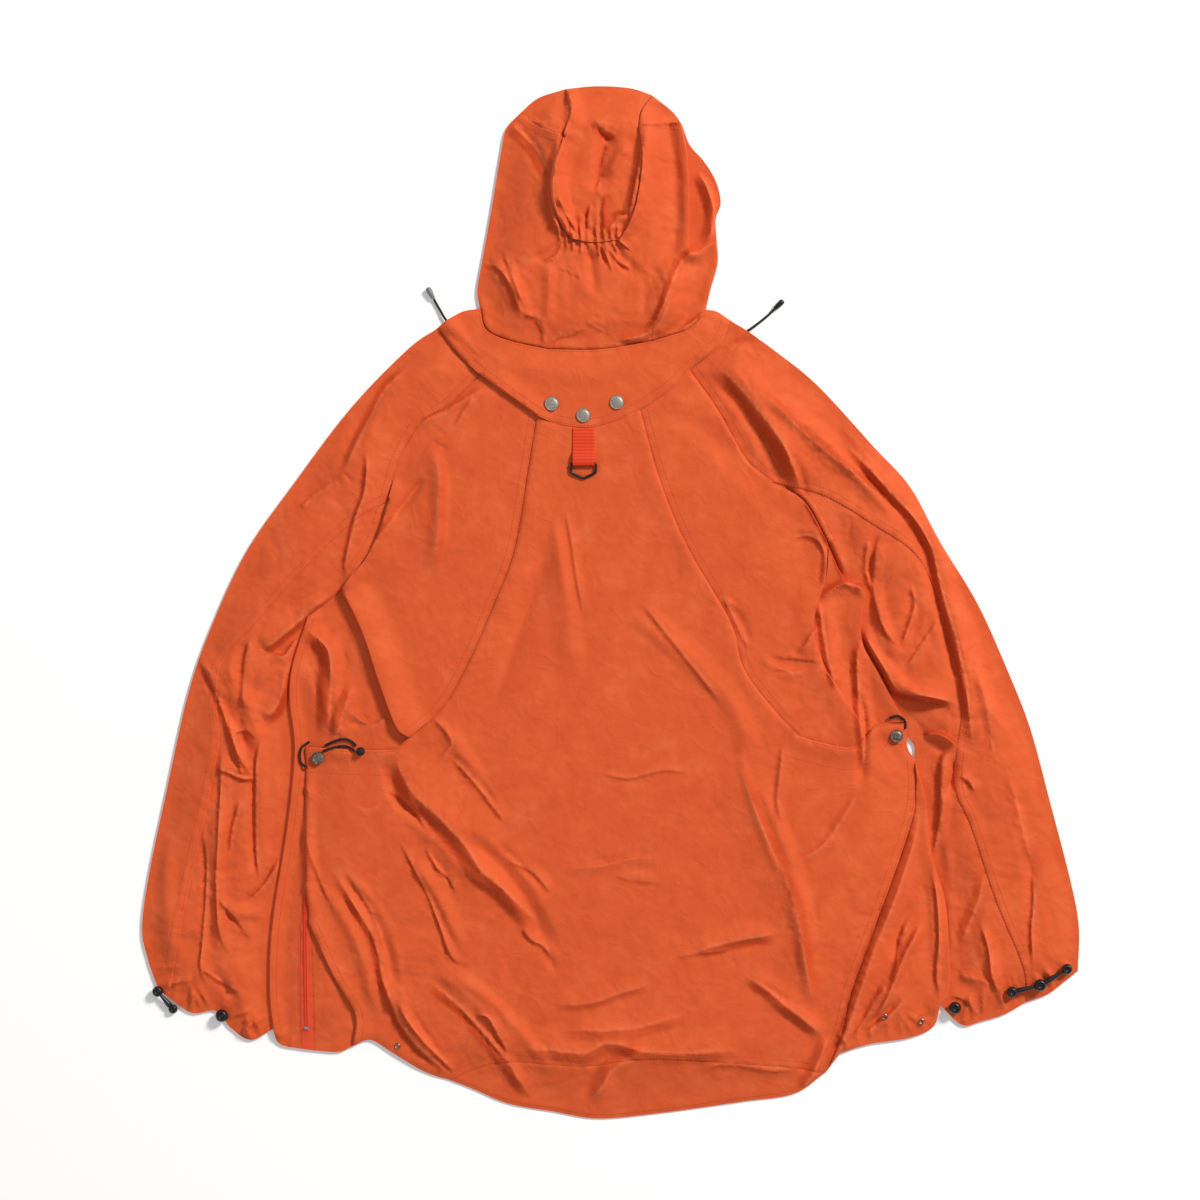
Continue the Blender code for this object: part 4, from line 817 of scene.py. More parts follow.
# %% Stitched seams
# Seam, the panel that its stitches are sewn on, and the distances of the rows from it.
TOPSTITCH = rows("""
neck_left yoke 1.6
neck_nape yoke 1.6
neck_right yoke 1.6
yoke_side_left yoke 1.8 8
yoke_centre yoke 1.8 8
yoke_side_right yoke 1.8 8
yoke_left yoke 1.8 8
yoke_right yoke 1.8 8
crown_left hood_left 1.6 7
crown_right hood_right 1.6 7
bulge_left hood_left 1.6
bulge_right hood_right 1.6
raglan_left sleeve_left_outer 1.6 8
raglan_left_low sleeve_left_inner 1.6 8
raglan_right sleeve_right_outer 1.6 8
raglan_right_low sleeve_right_inner 1.6 8
princess_left back_side_left 1.6 7.5
princess_right back_side_right 1.6 7.5
sleeve_seam_left sleeve_left_outer 1.6 8
sleeve_seam_right sleeve_right_outer 1.6 8
pocket_left back_centre 1.8 25
pocket_right back_centre 1.8 22
pocket_end_right back_centre 1.8 22
overlay_left back_centre 1.8
overlay_left_zip back_centre 1.8
overlay_left_low back_centre 1.8 8
overlay_right back_centre 1.8 8
hem_seam back_centre 1.6 7
hem_tail hem_band 4
zip_left side_left 1.6
zip_right side_gusset_left 1.6
body_edge_left side_left 8
""")
STITCHED = [row[0] for row in TOPSTITCH if row[0] not in ("hem_tail", "body_edge_left")]
print("stitched seams:", len(TOPSTITCH))

# %% [markdown]
# ## Lines and outlines
# A flat-laid panel is a sheet over its own outline, and everything on it, seams, folds and stitches,
# follows a smooth line of the plan. So the first helpers draw such lines and measure from them.

# %% Smooth lines
CELL = 2.8  # spacing of the points in a panel
FINE_CELL = 2.3  # the same in the small panels of the hood
SEAM_ROW = 1.7  # distance of the row of points beside each seam
SHELL = 0.9  # thickness that a panel is given


def smooth(t):
    """Ease from 0 to 1."""
    t = np.clip(t, 0.0, 1.0)
    return t * t * (3.0 - 2.0 * t)


def place(u, v, z):
    """A point of the lay plan at height z, in metres."""
    return Vector(((u - PLAN_U) * MM, (PLAN_V - v) * MM, z * MM))


def curve_points(knots, step):
    """Points about step apart on a smooth curve through the knots, both ends kept."""
    knots = [np.array(k, float) for k in knots]
    padded = [2 * knots[0] - knots[1]] + knots + [2 * knots[-1] - knots[-2]]
    points = []
    for a, b, c, d in zip(padded, padded[1:], padded[2:], padded[3:]):
        pieces = max(1, round(float(np.linalg.norm(c - b)) / step))
        for i in range(pieces):
            t = i / pieces
            points.append(0.5 * (2 * b + (c - a) * t + (2 * a - 5 * b + 4 * c - d) * t**2
                                 + (3 * b - a - 3 * c + d) * t**3))
    return points + [knots[-1]]


def seam_line(name, step):
    """The points of a seam or edge, about step apart."""
    return np.array(curve_points(SEAMS[name], step))


def ahead_and_across(line):
    """The unit directions along a line and across it, to its right, at each of its points."""
    ahead = np.gradient(line, axis=0)
    ahead /= np.linalg.norm(ahead, axis=1)[:, None]
    return ahead, np.stack([-ahead[:, 1], ahead[:, 0]], 1)


print("points along the hem's tail:", len(seam_line("hem_tail", CELL)))

# %% Outlines
def outline(seam_list, step):
    """The closed outline of a panel from its seams in order, a minus sign running one backwards."""
    loop = []
    for name in seam_list.split():
        points = curve_points(SEAMS[name.lstrip("-")], step)
        if name.startswith("-"):
            points.reverse()
        loop += points[:-1]
    return np.array(loop)


def plan_area(loop):
    """Area in square millimetres inside a closed outline, negative where it runs the other way."""
    before = np.roll(loop, 1, axis=0)
    return 0.5 * np.sum(before[:, 0] * loop[:, 1] - loop[:, 0] * before[:, 1])


def pull_in(loop, distance):
    """Move a closed outline inwards by distance."""
    turn = math.copysign(1.0, plan_area(loop))
    into, out = loop - np.roll(loop, 1, axis=0), np.roll(loop, -1, axis=0) - loop
    into /= np.linalg.norm(into, axis=1)[:, None]
    out /= np.linalg.norm(out, axis=1)[:, None]
    normal_in = np.stack([-into[:, 1], into[:, 0]], 1) * turn
    normal_out = np.stack([-out[:, 1], out[:, 0]], 1) * turn
    mitre = normal_in + normal_out
    mitre /= np.linalg.norm(mitre, axis=1)[:, None]
    reach = np.maximum(0.35, np.sum(mitre * normal_in, axis=1))
    return loop + mitre * (distance / reach)[:, None]


def inside(points, loop):
    """Which points lie inside a closed outline."""
    x, y = points[:, 0], points[:, 1]
    hit = np.zeros(len(points), bool)
    for (ax, ay), (bx, by) in zip(loop, np.roll(loop, -1, axis=0)):
        if ay == by:
            continue
        crosses = (ay > y) != (by > y)
        hit ^= crosses & (x < (bx - ax) * (y - ay) / (by - ay) + ax)
    return hit


print("yoke:", round(abs(plan_area(outline(PANELS[7][3], CELL))) / 100), "square centimetres")

# %% Distances from lines
def near_line(points, line, reach):
    """Which points lie in a line's own box, widened by reach."""
    return np.all((points > line.min(0) - reach) & (points < line.max(0) + reach), axis=1)


def line_distance(points, lines, limit=1e9):
    """Distance from each point to the nearest of some open lines, where it is under limit."""
    best = np.full(len(points), float(limit))
    for line in lines:
        line = np.asarray(line, float)
        near = near_line(points, line, limit)
        if not near.any():
            continue
        spots, nearest = points[near], best[near]
        for a, b in zip(line, line[1:]):
            run = b - a
            t = np.clip(((spots - a) @ run) / max(run @ run, 1e-9), 0.0, 1.0)
            nearest = np.minimum(nearest, np.linalg.norm(spots - a - t[:, None] * run, axis=1))
        best[near] = nearest
    return best


def beside_line(spots, line):
    """Distance of each spot from a line, its side, positive on the right, and its share of the way."""
    best = np.full(len(spots), 1e9)
    side, along = np.zeros(len(spots)), np.zeros(len(spots))
    for k, (a, b) in enumerate(zip(line, line[1:])):
        run = b - a
        t = np.clip(((spots - a) @ run) / (run @ run), 0.0, 1.0)
        offset = spots - a - t[:, None] * run
        distance = np.linalg.norm(offset, axis=1)
        nearer = distance < best
        best = np.where(nearer, distance, best)
        side = np.where(nearer, run[0] * offset[:, 1] - run[1] * offset[:, 0], side)
        along = np.where(nearer, (k + t) / (len(line) - 1), along)
    return best, side, along


print("half way along:", beside_line(np.array([[5.0, 2.0]]), np.array([[0.0, 0.0], [10.0, 0.0]]))[2][0])

# %% [markdown]
# ## Lifting the cloth
# Soft cloth folds in a rounded wave and stiff nylon in flat sides that meet in a narrow crest. A fold
# here is a mix of the two, and it fades at both ends as a real one does. A tuck is one-sided. Each
# tuck also paints light and shade into the cloth's colour: a painted highlight along its crest and
# painted shade over its steep side. Both are kept for the material.

# %% Folds
CRISPNESS = 0.75  # 0 for round folds, 1 for folds with flat sides
CREST = 1.2  # radius of the crest
FOLD_FADE = 0.28  # share of a fold's length over which it rises


def bend_points(start, bend, end, count):
    """Points on a fold's line, from its start past its bend to its end."""
    t = np.linspace(0.0, 1.0, count)[:, None]
    start, bend, end = np.array(start, float), np.array(bend, float), np.array(end, float)
    middle = 2 * bend - 0.5 * (start + end)
    return (1 - t) ** 2 * start + 2 * t * (1 - t) * middle + t**2 * end


def add_fold(points, total, row, taper=FOLD_FADE, crest=False):
    """Add one fold's lift to the total: a rounded ridge or trough that runs out at its ends."""
    _, start, bend, end, height, left, right = row
    line = bend_points(start, bend, end, 15)
    near = near_line(points, line, max(left, right))
    if not near.any():
        return
    best, side, along = beside_line(points[near], line)
    width = np.where(side > 0, right, left)
    share = np.clip(best / width, 0.0, 1.0)
    wave = 0.5 + 0.5 * np.cos(np.pi * share)
    bend = CREST / width
    tent = 1.0 - np.sqrt(share**2 + bend**2)
    tent = 0.5 * (tent + np.sqrt(tent**2 + (0.35 * bend) ** 2))
    profile = np.where(share < 1.0, wave + CRISPNESS * (tent - wave), 0.0)
    if taper:
        profile = profile * smooth(along / taper) * smooth((1.0 - along) / taper)
    if crest:
        total[near] = np.maximum(total[near], height * profile)
    else:
        total[near] += height * profile


trial = np.zeros(3)
add_fold(np.array([[0.0, 0.0], [0.0, 4.0], [0.0, 9.0]]), trial, ("", (-20, 0), (0, 0), (20, 0), 5, 8, 8))
print("across a 5 mm fold:", trial.round(2))

# %% Tucks
TUCK_FADE = 0.2  # share of a tuck's length over which it rises
# The next three set the painted light and shade of a tuck: the width of the painted highlight on its crest,
# the strengths of that painted highlight and of the painted shade on its steep side, and the tuck height that
# gets them in full.
CREST_HIGHLIGHT_WIDTH = 2.6  # width of the pale line on a crest
PAINTED_HIGHLIGHT, PAINTED_SHADE = 0.7, 1.2  # strength of the two marks
FULL_PAINT_HEIGHT = 4.0  # a tuck of this height or more is fully marked


def add_tuck(points, total, painted_tone_and_nearness, row):
    """Add one tuck's lift to the total, gentle on the left of its crest and steep on the right.

    The tuck's painted light and shade, a painted highlight on the crest and painted shade on the steep
    side, go to the first column of the last argument, and how near it is goes to the second."""
    _, height, gentle, steep, *knots = row
    line = np.array(curve_points(knots, 5.0))
    reach = max(gentle, steep) + 6.0
    near = near_line(points, line, reach)
    if not near.any():
        return
    best, side, along = beside_line(points[near], line)
    flat = 1.0 - np.clip(best / np.where(side > 0, steep, gentle), 0.0, 1.0)
    foot = flat**2 * (1.6 - 0.6 * flat)
    profile = np.where(side > 0, flat, 0.45 * flat + 0.55 * foot)
    fade = smooth(along / TUCK_FADE) * smooth((1.0 - along) / TUCK_FADE)
    total[near] += height * profile * fade
    # Painted light and shade of the tuck: a painted highlight along the crest and painted shade across the
    # steep side, full on taller tucks.
    painted_highlight = np.where(side > 0, 0.0, np.exp(-((best / CREST_HIGHLIGHT_WIDTH) ** 2)))
    painted_shade = smooth(best / steep / 0.25) * (1.0 - smooth((best / steep - 0.7) / 0.6))
    painted_shade = np.where(side > 0, painted_shade, 0.0) * min(1.0, height / steep)
    painted_tone_and_nearness[near, 0] += (PAINTED_HIGHLIGHT * painted_highlight - PAINTED_SHADE * painted_shade) * fade * min(1.0, height / FULL_PAINT_HEIGHT)
    painted_tone_and_nearness[near, 1] = np.maximum(painted_tone_and_nearness[near, 1], np.exp(-((best / (0.6 * reach)) ** 2)) * fade)


print("highest tuck:", max(row[1] for row in TUCKS), "mm")

# %% [markdown]
# ## Crinkles
# Nylon that was washed and tumbled has small crinkles all over: soft hollows with sharper creases
# between them. Plain noise has only soft hills. Its absolute value has a crease wherever the noise
# passes through zero, which is just what is wanted.

# %% Crinkles
CRINKLE = {"hood": 0.9, "brim": 0.6, "body": 0.4, "sleeve_left": 0.9, "sleeve_right": 0.9}


def wave_noise(points, size, seed):
    """Smooth seeded noise from -1 to 1 whose hills are about size across."""
    cell = points / size
    base = np.floor(cell).astype(int)
    share = cell - base
    ease = share * share * share * (share * (share * 6 - 15) + 10)

    def pull(du, dv):
        corner = base + np.array([du, dv])
        code = corner[:, 0] * 374761393 + corner[:, 1] * 668265263 + seed * 974634777
        code = (code ^ (code >> 13)) * 1274126177
        angle = ((code ^ (code >> 16)) & 0xFFFF) / 65536.0 * 2 * np.pi
        off = share - np.array([du, dv])
        return np.cos(angle) * off[:, 0] + np.sin(angle) * off[:, 1]

    low = pull(0, 0) * (1 - ease[:, 0]) + pull(1, 0) * ease[:, 0]
    high = pull(0, 1) * (1 - ease[:, 0]) + pull(1, 1) * ease[:, 0]
    return 1.5 * (low * (1 - ease[:, 1]) + high * ease[:, 1])


def creased(points, size, seed):
    """Noise from -1 to 1 with its peaks as creases."""
    return 1.0 - 2.0 * np.abs(wave_noise(points, size, seed))


def crinkle(points, seed):
    """Soft billows with sharper creases between them."""
    u, v = points[:, 0], points[:, 1]
    turned = np.stack([u * 0.8 + v * 0.6, v * 0.8 - u * 0.6], 1)
    warp = np.stack([wave_noise(points, 46.0, seed + 1), wave_noise(points, 46.0, seed + 2)], 1) * 16.0
    billow = creased(turned * [1.0, 0.62] + warp, 34.0, seed + 3)
    small = creased(turned * [0.7, 1.0] + warp, 13.0, seed + 4)
    soft = wave_noise(points + warp, 70.0, seed + 5)
    return 1.3 * soft - 0.9 * smooth(billow * 1.2 - 0.2) - 0.4 * smooth(small * 1.3 - 0.3)


print("crinkle at the middle:", crinkle(np.array([[600.0, 600.0]]), 11).round(2)[0], "mm")

# %% [markdown]
# ## Pleats at the drawn edges
# The elastic draws the cuffs and the cord draws the hem into short pleats. They are too many to place
# by hand, so each edge gets seeded ones, uneven in spacing, length, lean and height.

# %% Pleats
# Cloth group, seam, spacing of the pleats, their shortest and longest run, and their height.
DRAWN_EDGES = [
    ("sleeve_left", "cuff_left_outer", 8.0, 16, 40, 3.4),
    ("sleeve_left", "cuff_left_inner", 8.0, 16, 36, 3.4),
    ("sleeve_right", "cuff_right_outer", 8.5, 16, 36, 3.0),
    ("sleeve_right", "cuff_right_inner", 8.0, 16, 40, 3.4),
    ("body", "hem_side_right", 13.0, 14, 34, 2.8), ("body", "hem_tail_left", 15.0, 12, 30, 2.4),
    ("body", "hem_side_left", 10.0, 10, 24, 2.2),
]
random = np.random.default_rng(5)


def pleat(group, here, along, inward, shortest, longest, height):
    """One pleat that runs inwards from a drawn edge, as a row of a fold."""
    reach = random.uniform(shortest, longest)
    lean = random.uniform(-0.45, 0.45)
    end = here + inward * reach + along * lean * reach
    bend = 0.5 * (here + end) + along * random.uniform(-3.0, 3.0)
    return (group, tuple(here - inward * 3.0), tuple(bend), tuple(end),
            height * random.uniform(0.6, 1.25), random.uniform(2.5, 5.0), random.uniform(2.5, 4.0))


gathers = []
for group, seam, spacing, shortest, longest, height in DRAWN_EDGES:
    line = seam_line(seam, 1.0)
    ahead, across = ahead_and_across(line)
    loop = outline(GROUP_OUTLINES[group], 6.0)
    spot = spacing * 0.6
    while spot < len(line) - 4:
        here, along, inward = line[int(spot)], ahead[int(spot)], across[int(spot)]
        if not inside(np.array([here + inward * 8.0]), loop)[0]:
            inward = -inward
        gathers.append(pleat(group, here, along, inward, shortest, longest, height))
        spot += spacing * random.uniform(0.65, 1.5)
print("pleats at the drawn edges:", len(gathers))

# %% [markdown]
# ## The height of the cloth
# The back lies on the front with trapped air between them, so it stands a few millimetres up in the
# middle and comes down to the table at its edges. Folds, tucks, crinkles and the rolls of the seams
# are added to that loft, and each of them fades where the cloth is held: at an edge, a seam or a snap.

# %% Loft and folds
FOLD_GAIN = 0.85  # the shell's folds as a share of the solid's, because its tucks stand on them
CREASE_GAIN, TUCK_GAIN = 1.1, 1.1


def rest_height(points):
    """The lowest underside a back panel may have: over the front, or on the table at the tail."""
    return BACK_REST * smooth((TAIL_START_V + TAIL_DROP - points[:, 1]) / TAIL_DROP)


def loft_height(group, to_open, to_seam):
    """Height of the trapped air, from the distances to the open edge and to the next sewn seam."""
    loft, width = LOFT[group]
    low = LEVEL_LOFT * smooth(to_open / 25.0)
    return low + (loft * smooth(to_open / width) - low) * smooth(to_seam / LEVEL_WIDTH)


def folded_height(points, group, loft, to_open):
    """The loft with the group's folds, tucks and tunnels on it, the painted light and shade of the tucks, and
    how near each point is to a tuck.
    """
    folds, tucks, painted_tone_and_nearness = np.zeros(len(points)), np.zeros(len(points)), np.zeros((len(points), 2))
    for row in FOLDS:
        if row[0] == group:
            add_fold(points, folds, row)
    for row in TUCKS:
        if row[0] in (group, "all"):
            add_tuck(points, tucks, painted_tone_and_nearness, row)
    rise = loft + FOLD_GAIN * folds * smooth(to_open / EDGE_ROLL)
    lift = np.maximum(rise + TUCK_GAIN * tucks * smooth(to_open / 5.0), 0.0)
    for row in TUNNELS:
        add_fold(points, lift, row, taper=0.0, crest=True)
    return lift, painted_tone_and_nearness


print("highest loft:", max(loft for loft, _ in LOFT.values()), "mm")

# %% Fine relief
def fine_relief(points, group, painted_tone_and_nearness, to_open, to_stitch):
    """Creases, crinkles and the puckers along stitches, which all stop at the trims."""
    fine = np.zeros(len(points))
    for row in CREASES:
        if row[0] == group:
            add_fold(points, fine, row)
    fine *= CREASE_GAIN
    crumpled = np.full(len(points), CRINKLE[group])
    for u, v, radius, amount in CRUMPLED:
        near = np.exp(-((points[:, 0] - u) ** 2 + (points[:, 1] - v) ** 2) / radius**2)
        crumpled += (amount - crumpled) * near
    fine += crumpled * crinkle(points, 11)
    nick = smooth(creased(points * [1.0, 0.8], 7.5, 91) * 1.3 - 0.2)
    fine += painted_tone_and_nearness[:, 1] * (0.6 * crinkle(points, 53) - 0.7 * nick * smooth(crumpled))
    pucker = wave_noise(points, 9.0, 77) * 0.55 * (1.0 - smooth(to_stitch / 14.0))
    fine += pucker * smooth(to_open / 3.0)
    quiet = np.ones(len(points))
    for u, v, radius in QUIET_SPOTS:
        away = np.hypot(points[:, 0] - u, points[:, 1] - v)
        quiet = np.minimum(quiet, smooth((away - radius) / 8.0))
    return fine * quiet * smooth(to_open / 9.0)


def pleat_height(points, group, to_open):
    """Height of the pleats at the drawn edges."""
    pleats = np.zeros(len(points))
    for row in gathers:
        if row[0] == group:
            add_fold(points, pleats, row, taper=0.4)
    return pleats * smooth((to_open + 1.5) / 4.0)


def edge_roll(points, name):
    """Height of the rolled edges where a panel lies over its neighbour."""
    roll = np.zeros(len(points))
    for panel, seam, rise, width in STEPS:
        if panel == name:
            off = line_distance(points, [seam_line(seam, 4.0)], width + 4.0)
            rolled = smooth(off / SEAM_ROW) * (1.0 - smooth((off - SEAM_ROW) / width))
            roll = np.maximum(roll, rise * rolled)
    return roll


print("rolled edges of the yoke:", sum(row[0] == "yoke" for row in STEPS))

# %% Top of the cloth
def cloth_top(points, name, group, edge_lift):
    """Height of the top of a back panel at points of the plan, and the painted light and shade of its tucks.
    """
    open_seams = [n.lstrip("-") for n in GROUP_OUTLINES[group].split() if n.lstrip("-") not in LEVEL_SEAMS]
    to_open = line_distance(points, [seam_line(seam, 6.0) for seam in open_seams], 80.0)
    to_seam = line_distance(points, [seam_line(seam, 6.0) for seam in LEVEL_SEAMS], 40.0)
    to_stitch = line_distance(points, [seam_line(seam, 6.0) for seam in STITCHED], 20.0)
    loft = loft_height(group, to_open, to_seam)
    lift, painted_tone_and_nearness = folded_height(points, group, loft, to_open)
    fine = fine_relief(points, group, painted_tone_and_nearness, to_open, to_stitch)
    relief = np.maximum(lift + fine + pleat_height(points, group, to_open), 0.0)
    height = rest_height(points) + edge_lift * smooth(to_open / 6.0) + relief + BACK_WALL
    valley = -0.3 * (1.0 - smooth(to_stitch / 3.0))
    height += edge_roll(points, name) * smooth(to_open / 2.0 + 0.3) + valley * smooth(to_open / 3.0)
    return height, painted_tone_and_nearness[:, 0]


middle_of_back = np.array([[590.0, 700.0]])
print("the middle of the back:", cloth_top(middle_of_back, "back_centre", "body", 1.6)[0].round(1)[0], "mm")

# %% [markdown]
# ## The sheet
# Folds cross a panel in every direction, so a grid of rows would show as steps. The outline is filled
# with small even triangles instead. Extra points run along each crest, because a crest between two
# points would be cut off, and a row of points beside each seam keeps the seam crisp.

# %% Points of a sheet
def thinned(points, size):
    """Keep the first point in each square of that size."""
    _, first = np.unique(np.round(points / size).astype(int), axis=0, return_index=True)
    return points[np.sort(first)]


def crest_rows(group):
    """Points along the crests of a group's tucks and creases, with rows close beside each tuck's."""
    lines = []
    for row in TUCKS:
        if row[0] in (group, "all"):
            line = np.array(curve_points(row[4:], 2.0))
            _, across = ahead_and_across(line)
            lines += [line, line - across * 1.5, line + across * 1.5, line + across * (row[3] + 0.5)]
    lines += [bend_points(*row[1:4], 40) for row in CREASES + gathers if row[0] == group]
    points = np.vstack(lines) if lines else np.zeros((0, 2))
    return thinned(points, 1.3)


def sheet_points(loop, cell, crests):
    """Points that fill an outline: the outline, the row beside it, an even grid and the crests."""
    low, high = loop.min(0), loop.max(0)
    closed = np.vstack([loop, loop[:1]])
    levels = np.arange(low[1], high[1], cell * 0.866)
    grid = np.array([(u, v) for k, v in enumerate(levels)
                     for u in np.arange(low[0] + (k % 2) * cell / 2, high[0], cell)])
    grid = grid[inside(grid, loop)]
    grid = grid[line_distance(grid, [closed], 3 * cell) > SEAM_ROW + 0.55 * cell]
    if crests is not None and len(crests):
        crests = crests[np.all((crests > low) & (crests < high), axis=1)]
        crests = crests[inside(crests, loop)]
        crests = crests[line_distance(crests, [closed], 3 * cell) > SEAM_ROW + 0.45 * cell]
        taken = {tuple(key) for key in np.round(crests / 1.6).astype(int)}
        free = [tuple(key) not in taken for key in np.round(grid / 1.6).astype(int)]
        grid = np.vstack([grid[np.array(free)], crests])
    row = pull_in(loop, SEAM_ROW)
    row = row[inside(row, loop)]
    row = row[line_distance(row, [closed], 3 * cell) > 0.7 * SEAM_ROW]
    return [Vector(p) for points in (loop, row, grid) for p in points]


print("points along the crests of the hood:", len(crest_rows("hood")))

# %% Sheet
def set_attribute(mesh, name, values):
    """Store one number for each point, which a material can read."""
    layer = mesh.attributes.new(name, "FLOAT", "POINT")
    layer.data.foreach_set("value", values.astype(np.float32))


def sheet_object(name, loop, cell, heights, crests=None):
    """A sheet inside an outline, with the heights and the painted light and shade that a function gives."""
    corners = sheet_points(loop, cell, crests)
    edges = [(i, (i + 1) % len(loop)) for i in range(len(loop))]
    spots, _, faces, *_ = delaunay_2d_cdt(corners, edges, [], 1, 1e-4)
    plan = np.array([(p.x, p.y) for p in spots])
    lift, painted_light_shade = heights(plan)
    sheet = bpy.data.meshes.new(name)
    points = np.stack([(plan[:, 0] - PLAN_U) * MM, (PLAN_V - plan[:, 1]) * MM, lift * MM], 1)
    sheet.from_pydata(points.tolist(), [], [list(face) for face in faces])
    # The tucks' painted light and shade is stored on the points for the material.
    set_attribute(sheet, "painted_light_shade", np.clip(painted_light_shade, -1.0, 1.0))
    piece = add_object(name, sheet)
    bpy.context.view_layer.objects.active = piece
    piece.select_set(True)
    bpy.ops.object.mode_set(mode="EDIT")
    bpy.ops.mesh.select_all(action="SELECT")
    bpy.ops.mesh.normals_make_consistent(inside=False)
    bpy.ops.object.mode_set(mode="OBJECT")
    if sheet.polygons[0].normal.z < 0:
        sheet.flip_normals()
    sheet.shade_smooth()
    bpy.ops.object.select_all(action="DESELECT")
    return piece


def give_thickness(piece, wall):
    """Solidify downwards, so that the top stays where it is."""
    solid = piece.modifiers.new("wall", "SOLIDIFY")
    solid.thickness = wall * MM
    solid.offset = -1.0
    solid.use_rim = True
    bpy.context.view_layer.objects.active = piece
    bpy.ops.object.modifier_apply(modifier="wall")
    piece.select_set(True)
    bpy.ops.object.shade_smooth_by_angle(angle=math.radians(65))
    bpy.ops.object.select_all(action="DESELECT")


print("a panel's wall:", SHELL, "mm")

# %% [markdown]
# ## Materials
# A shader becomes a finish through its nodes: a pattern on the piece's own coordinates, a colour ramp
# over it, and bump for what is too fine for the mesh. One small function adds any node with its
# settings and links. The coordinates are metres, so noise or cells of Scale 1000 are 1 mm across, and
# the bands of a wave are 0.314 m over its Scale apart.

# %% Nodes of a material
def add_node(material, kind, settings=None, links=None):
    """Add a node with its settings and the sockets that feed it. Stops are a ramp's places and colours."""
    node = material.node_tree.nodes.new("ShaderNode" + kind)
    settings = dict(settings or {})
    stops = settings.pop("stops", [])
    for key, value in settings.items():
        if isinstance(key, int) or key in node.inputs:
            node.inputs[key].default_value = value
        else:
            setattr(node, key, value)
    for k, (spot, colour) in enumerate(stops[:1] + stops[-1:]):
        node.color_ramp.elements[k].position = spot
        node.color_ramp.elements[k].color = srgb(colour)
    for spot, colour in stops[1:-1]:
        node.color_ramp.elements.new(spot).color = srgb(colour)
    for key, source in (links or {}).items():
        material.node_tree.links.new(source, node.inputs[key])
    return node


def link_shader(material, shader, sources):
    """Link sources to the shader's sockets by name."""
    for socket, source in sources.items():
        material.node_tree.links.new(source, shader.inputs[socket])


print("materials so far:", len(bpy.data.materials))

# %% [markdown]
# ## Shell cloth
# The shell is a plain-woven nylon whose warp is orange and whose weft is a browner tan, and the sheen
# has the weft's colour. Along the tucks, light and shade are painted into its colour: a tan painted
# highlight on each crest and deep red-orange painted shade on each steep side. The weave, the crumple
# and the fine wrinkles of washed nylon are three bumps, one over the other. Real yarns of such a cloth
# are too fine to show from here, so they are drawn about 1 mm apart.

# %% Shell cloth
shell_cloth, shader = new_material("plain-woven nylon with painted fold light and shade", "DA5A30", 0.68)
spot = add_node(shell_cloth, "TexCoord").outputs["Object"]
cloud = add_node(shell_cloth, "TexNoise", {"Scale": 38.0, "Detail": 5.0, "Roughness": 0.6},
                 {"Vector": spot})
tint = add_node(shell_cloth, "ValToRGB", {
    "stops": [(0.25, "D2532B"), (0.55, "DB5B31"), (0.8, "E2673C")]}, {"Fac": cloud.outputs["Fac"]})
# The tucks' attribute holds painted light and shade: above zero it mixes in a tan painted highlight, below
# zero a deep red painted shade.
painted_tone = add_node(shell_cloth, "Attribute", {"attribute_name": "painted_light_shade"}).outputs["Fac"]
crest = add_node(shell_cloth, "MapRange", {"From Max": 1.0, "To Max": 0.28}, {"Value": painted_tone})
foot = add_node(shell_cloth, "MapRange", {"From Max": -1.0, "To Max": 0.85}, {"Value": painted_tone})
painted_highlight_mix = add_node(shell_cloth, "Mix", {"data_type": "RGBA", 7: srgb("E8926A")},
                  {0: crest.outputs["Result"], 6: tint.outputs["Color"]})
painted_shade = add_node(shell_cloth, "Mix", {"data_type": "RGBA", 7: srgb("BC3812")},
                {0: foot.outputs["Result"], 6: painted_highlight_mix.outputs[2]})
shader.inputs["Sheen Weight"].default_value = 0.35
shader.inputs["Sheen Roughness"].default_value = 0.45
shader.inputs["Sheen Tint"].default_value = srgb("F0B483")
shader.inputs["Specular IOR Level"].default_value = 0.22
shader.inputs["Specular Tint"].default_value = srgb("FFD9B0")
print("shell cloth coloured")

# %% Weave and wrinkles of the shell
weave_u, weave_v = [
    add_node(shell_cloth, "TexWave", {"Scale": 330.0, "Distortion": 1.2, "bands_direction": way},
             {"Vector": spot}) for way in ("X", "Y")]
weave = add_node(shell_cloth, "Math", {"operation": "ADD"},
                 {0: weave_u.outputs["Fac"], 1: weave_v.outputs["Fac"]})
crumple = add_node(shell_cloth, "TexNoise", {
    "Scale": 210.0, "Detail": 4.0, "Roughness": 0.55, "Distortion": 0.6}, {"Vector": spot})
wrinkle = add_node(shell_cloth, "TexNoise", {
    "noise_type": "RIDGED_MULTIFRACTAL", "Scale": 42.0, "Detail": 3.0, "Roughness": 0.45, "Lacunarity": 2.1,
    "Offset": 0.9, "Gain": 1.6, "Distortion": 0.7}, {"Vector": spot})
relief = add_node(shell_cloth, "Bump", {"Strength": 0.25, "Distance": 0.00006},
                  {"Height": weave.outputs[0]})
for source, strength, distance in ((crumple, 0.45, 0.0007), (wrinkle, 0.35, 0.0009)):
    relief = add_node(shell_cloth, "Bump", {"Strength": strength, "Distance": distance},
                      {"Height": source.outputs["Fac"], "Normal": relief.outputs["Normal"]})
link_shader(shell_cloth, shader, {"Base Color": painted_shade.outputs[2], "Normal": relief.outputs["Normal"]})
print("shell cloth nodes:", len(shell_cloth.node_tree.nodes))

# %% [markdown]
# ## Zip tape
# The tape of a zip is a narrow polyester twill, brighter than the shell and without its second tone.
# Its diagonal ribs are drawn 1.7 mm apart, coarser than real ones, so that they show.

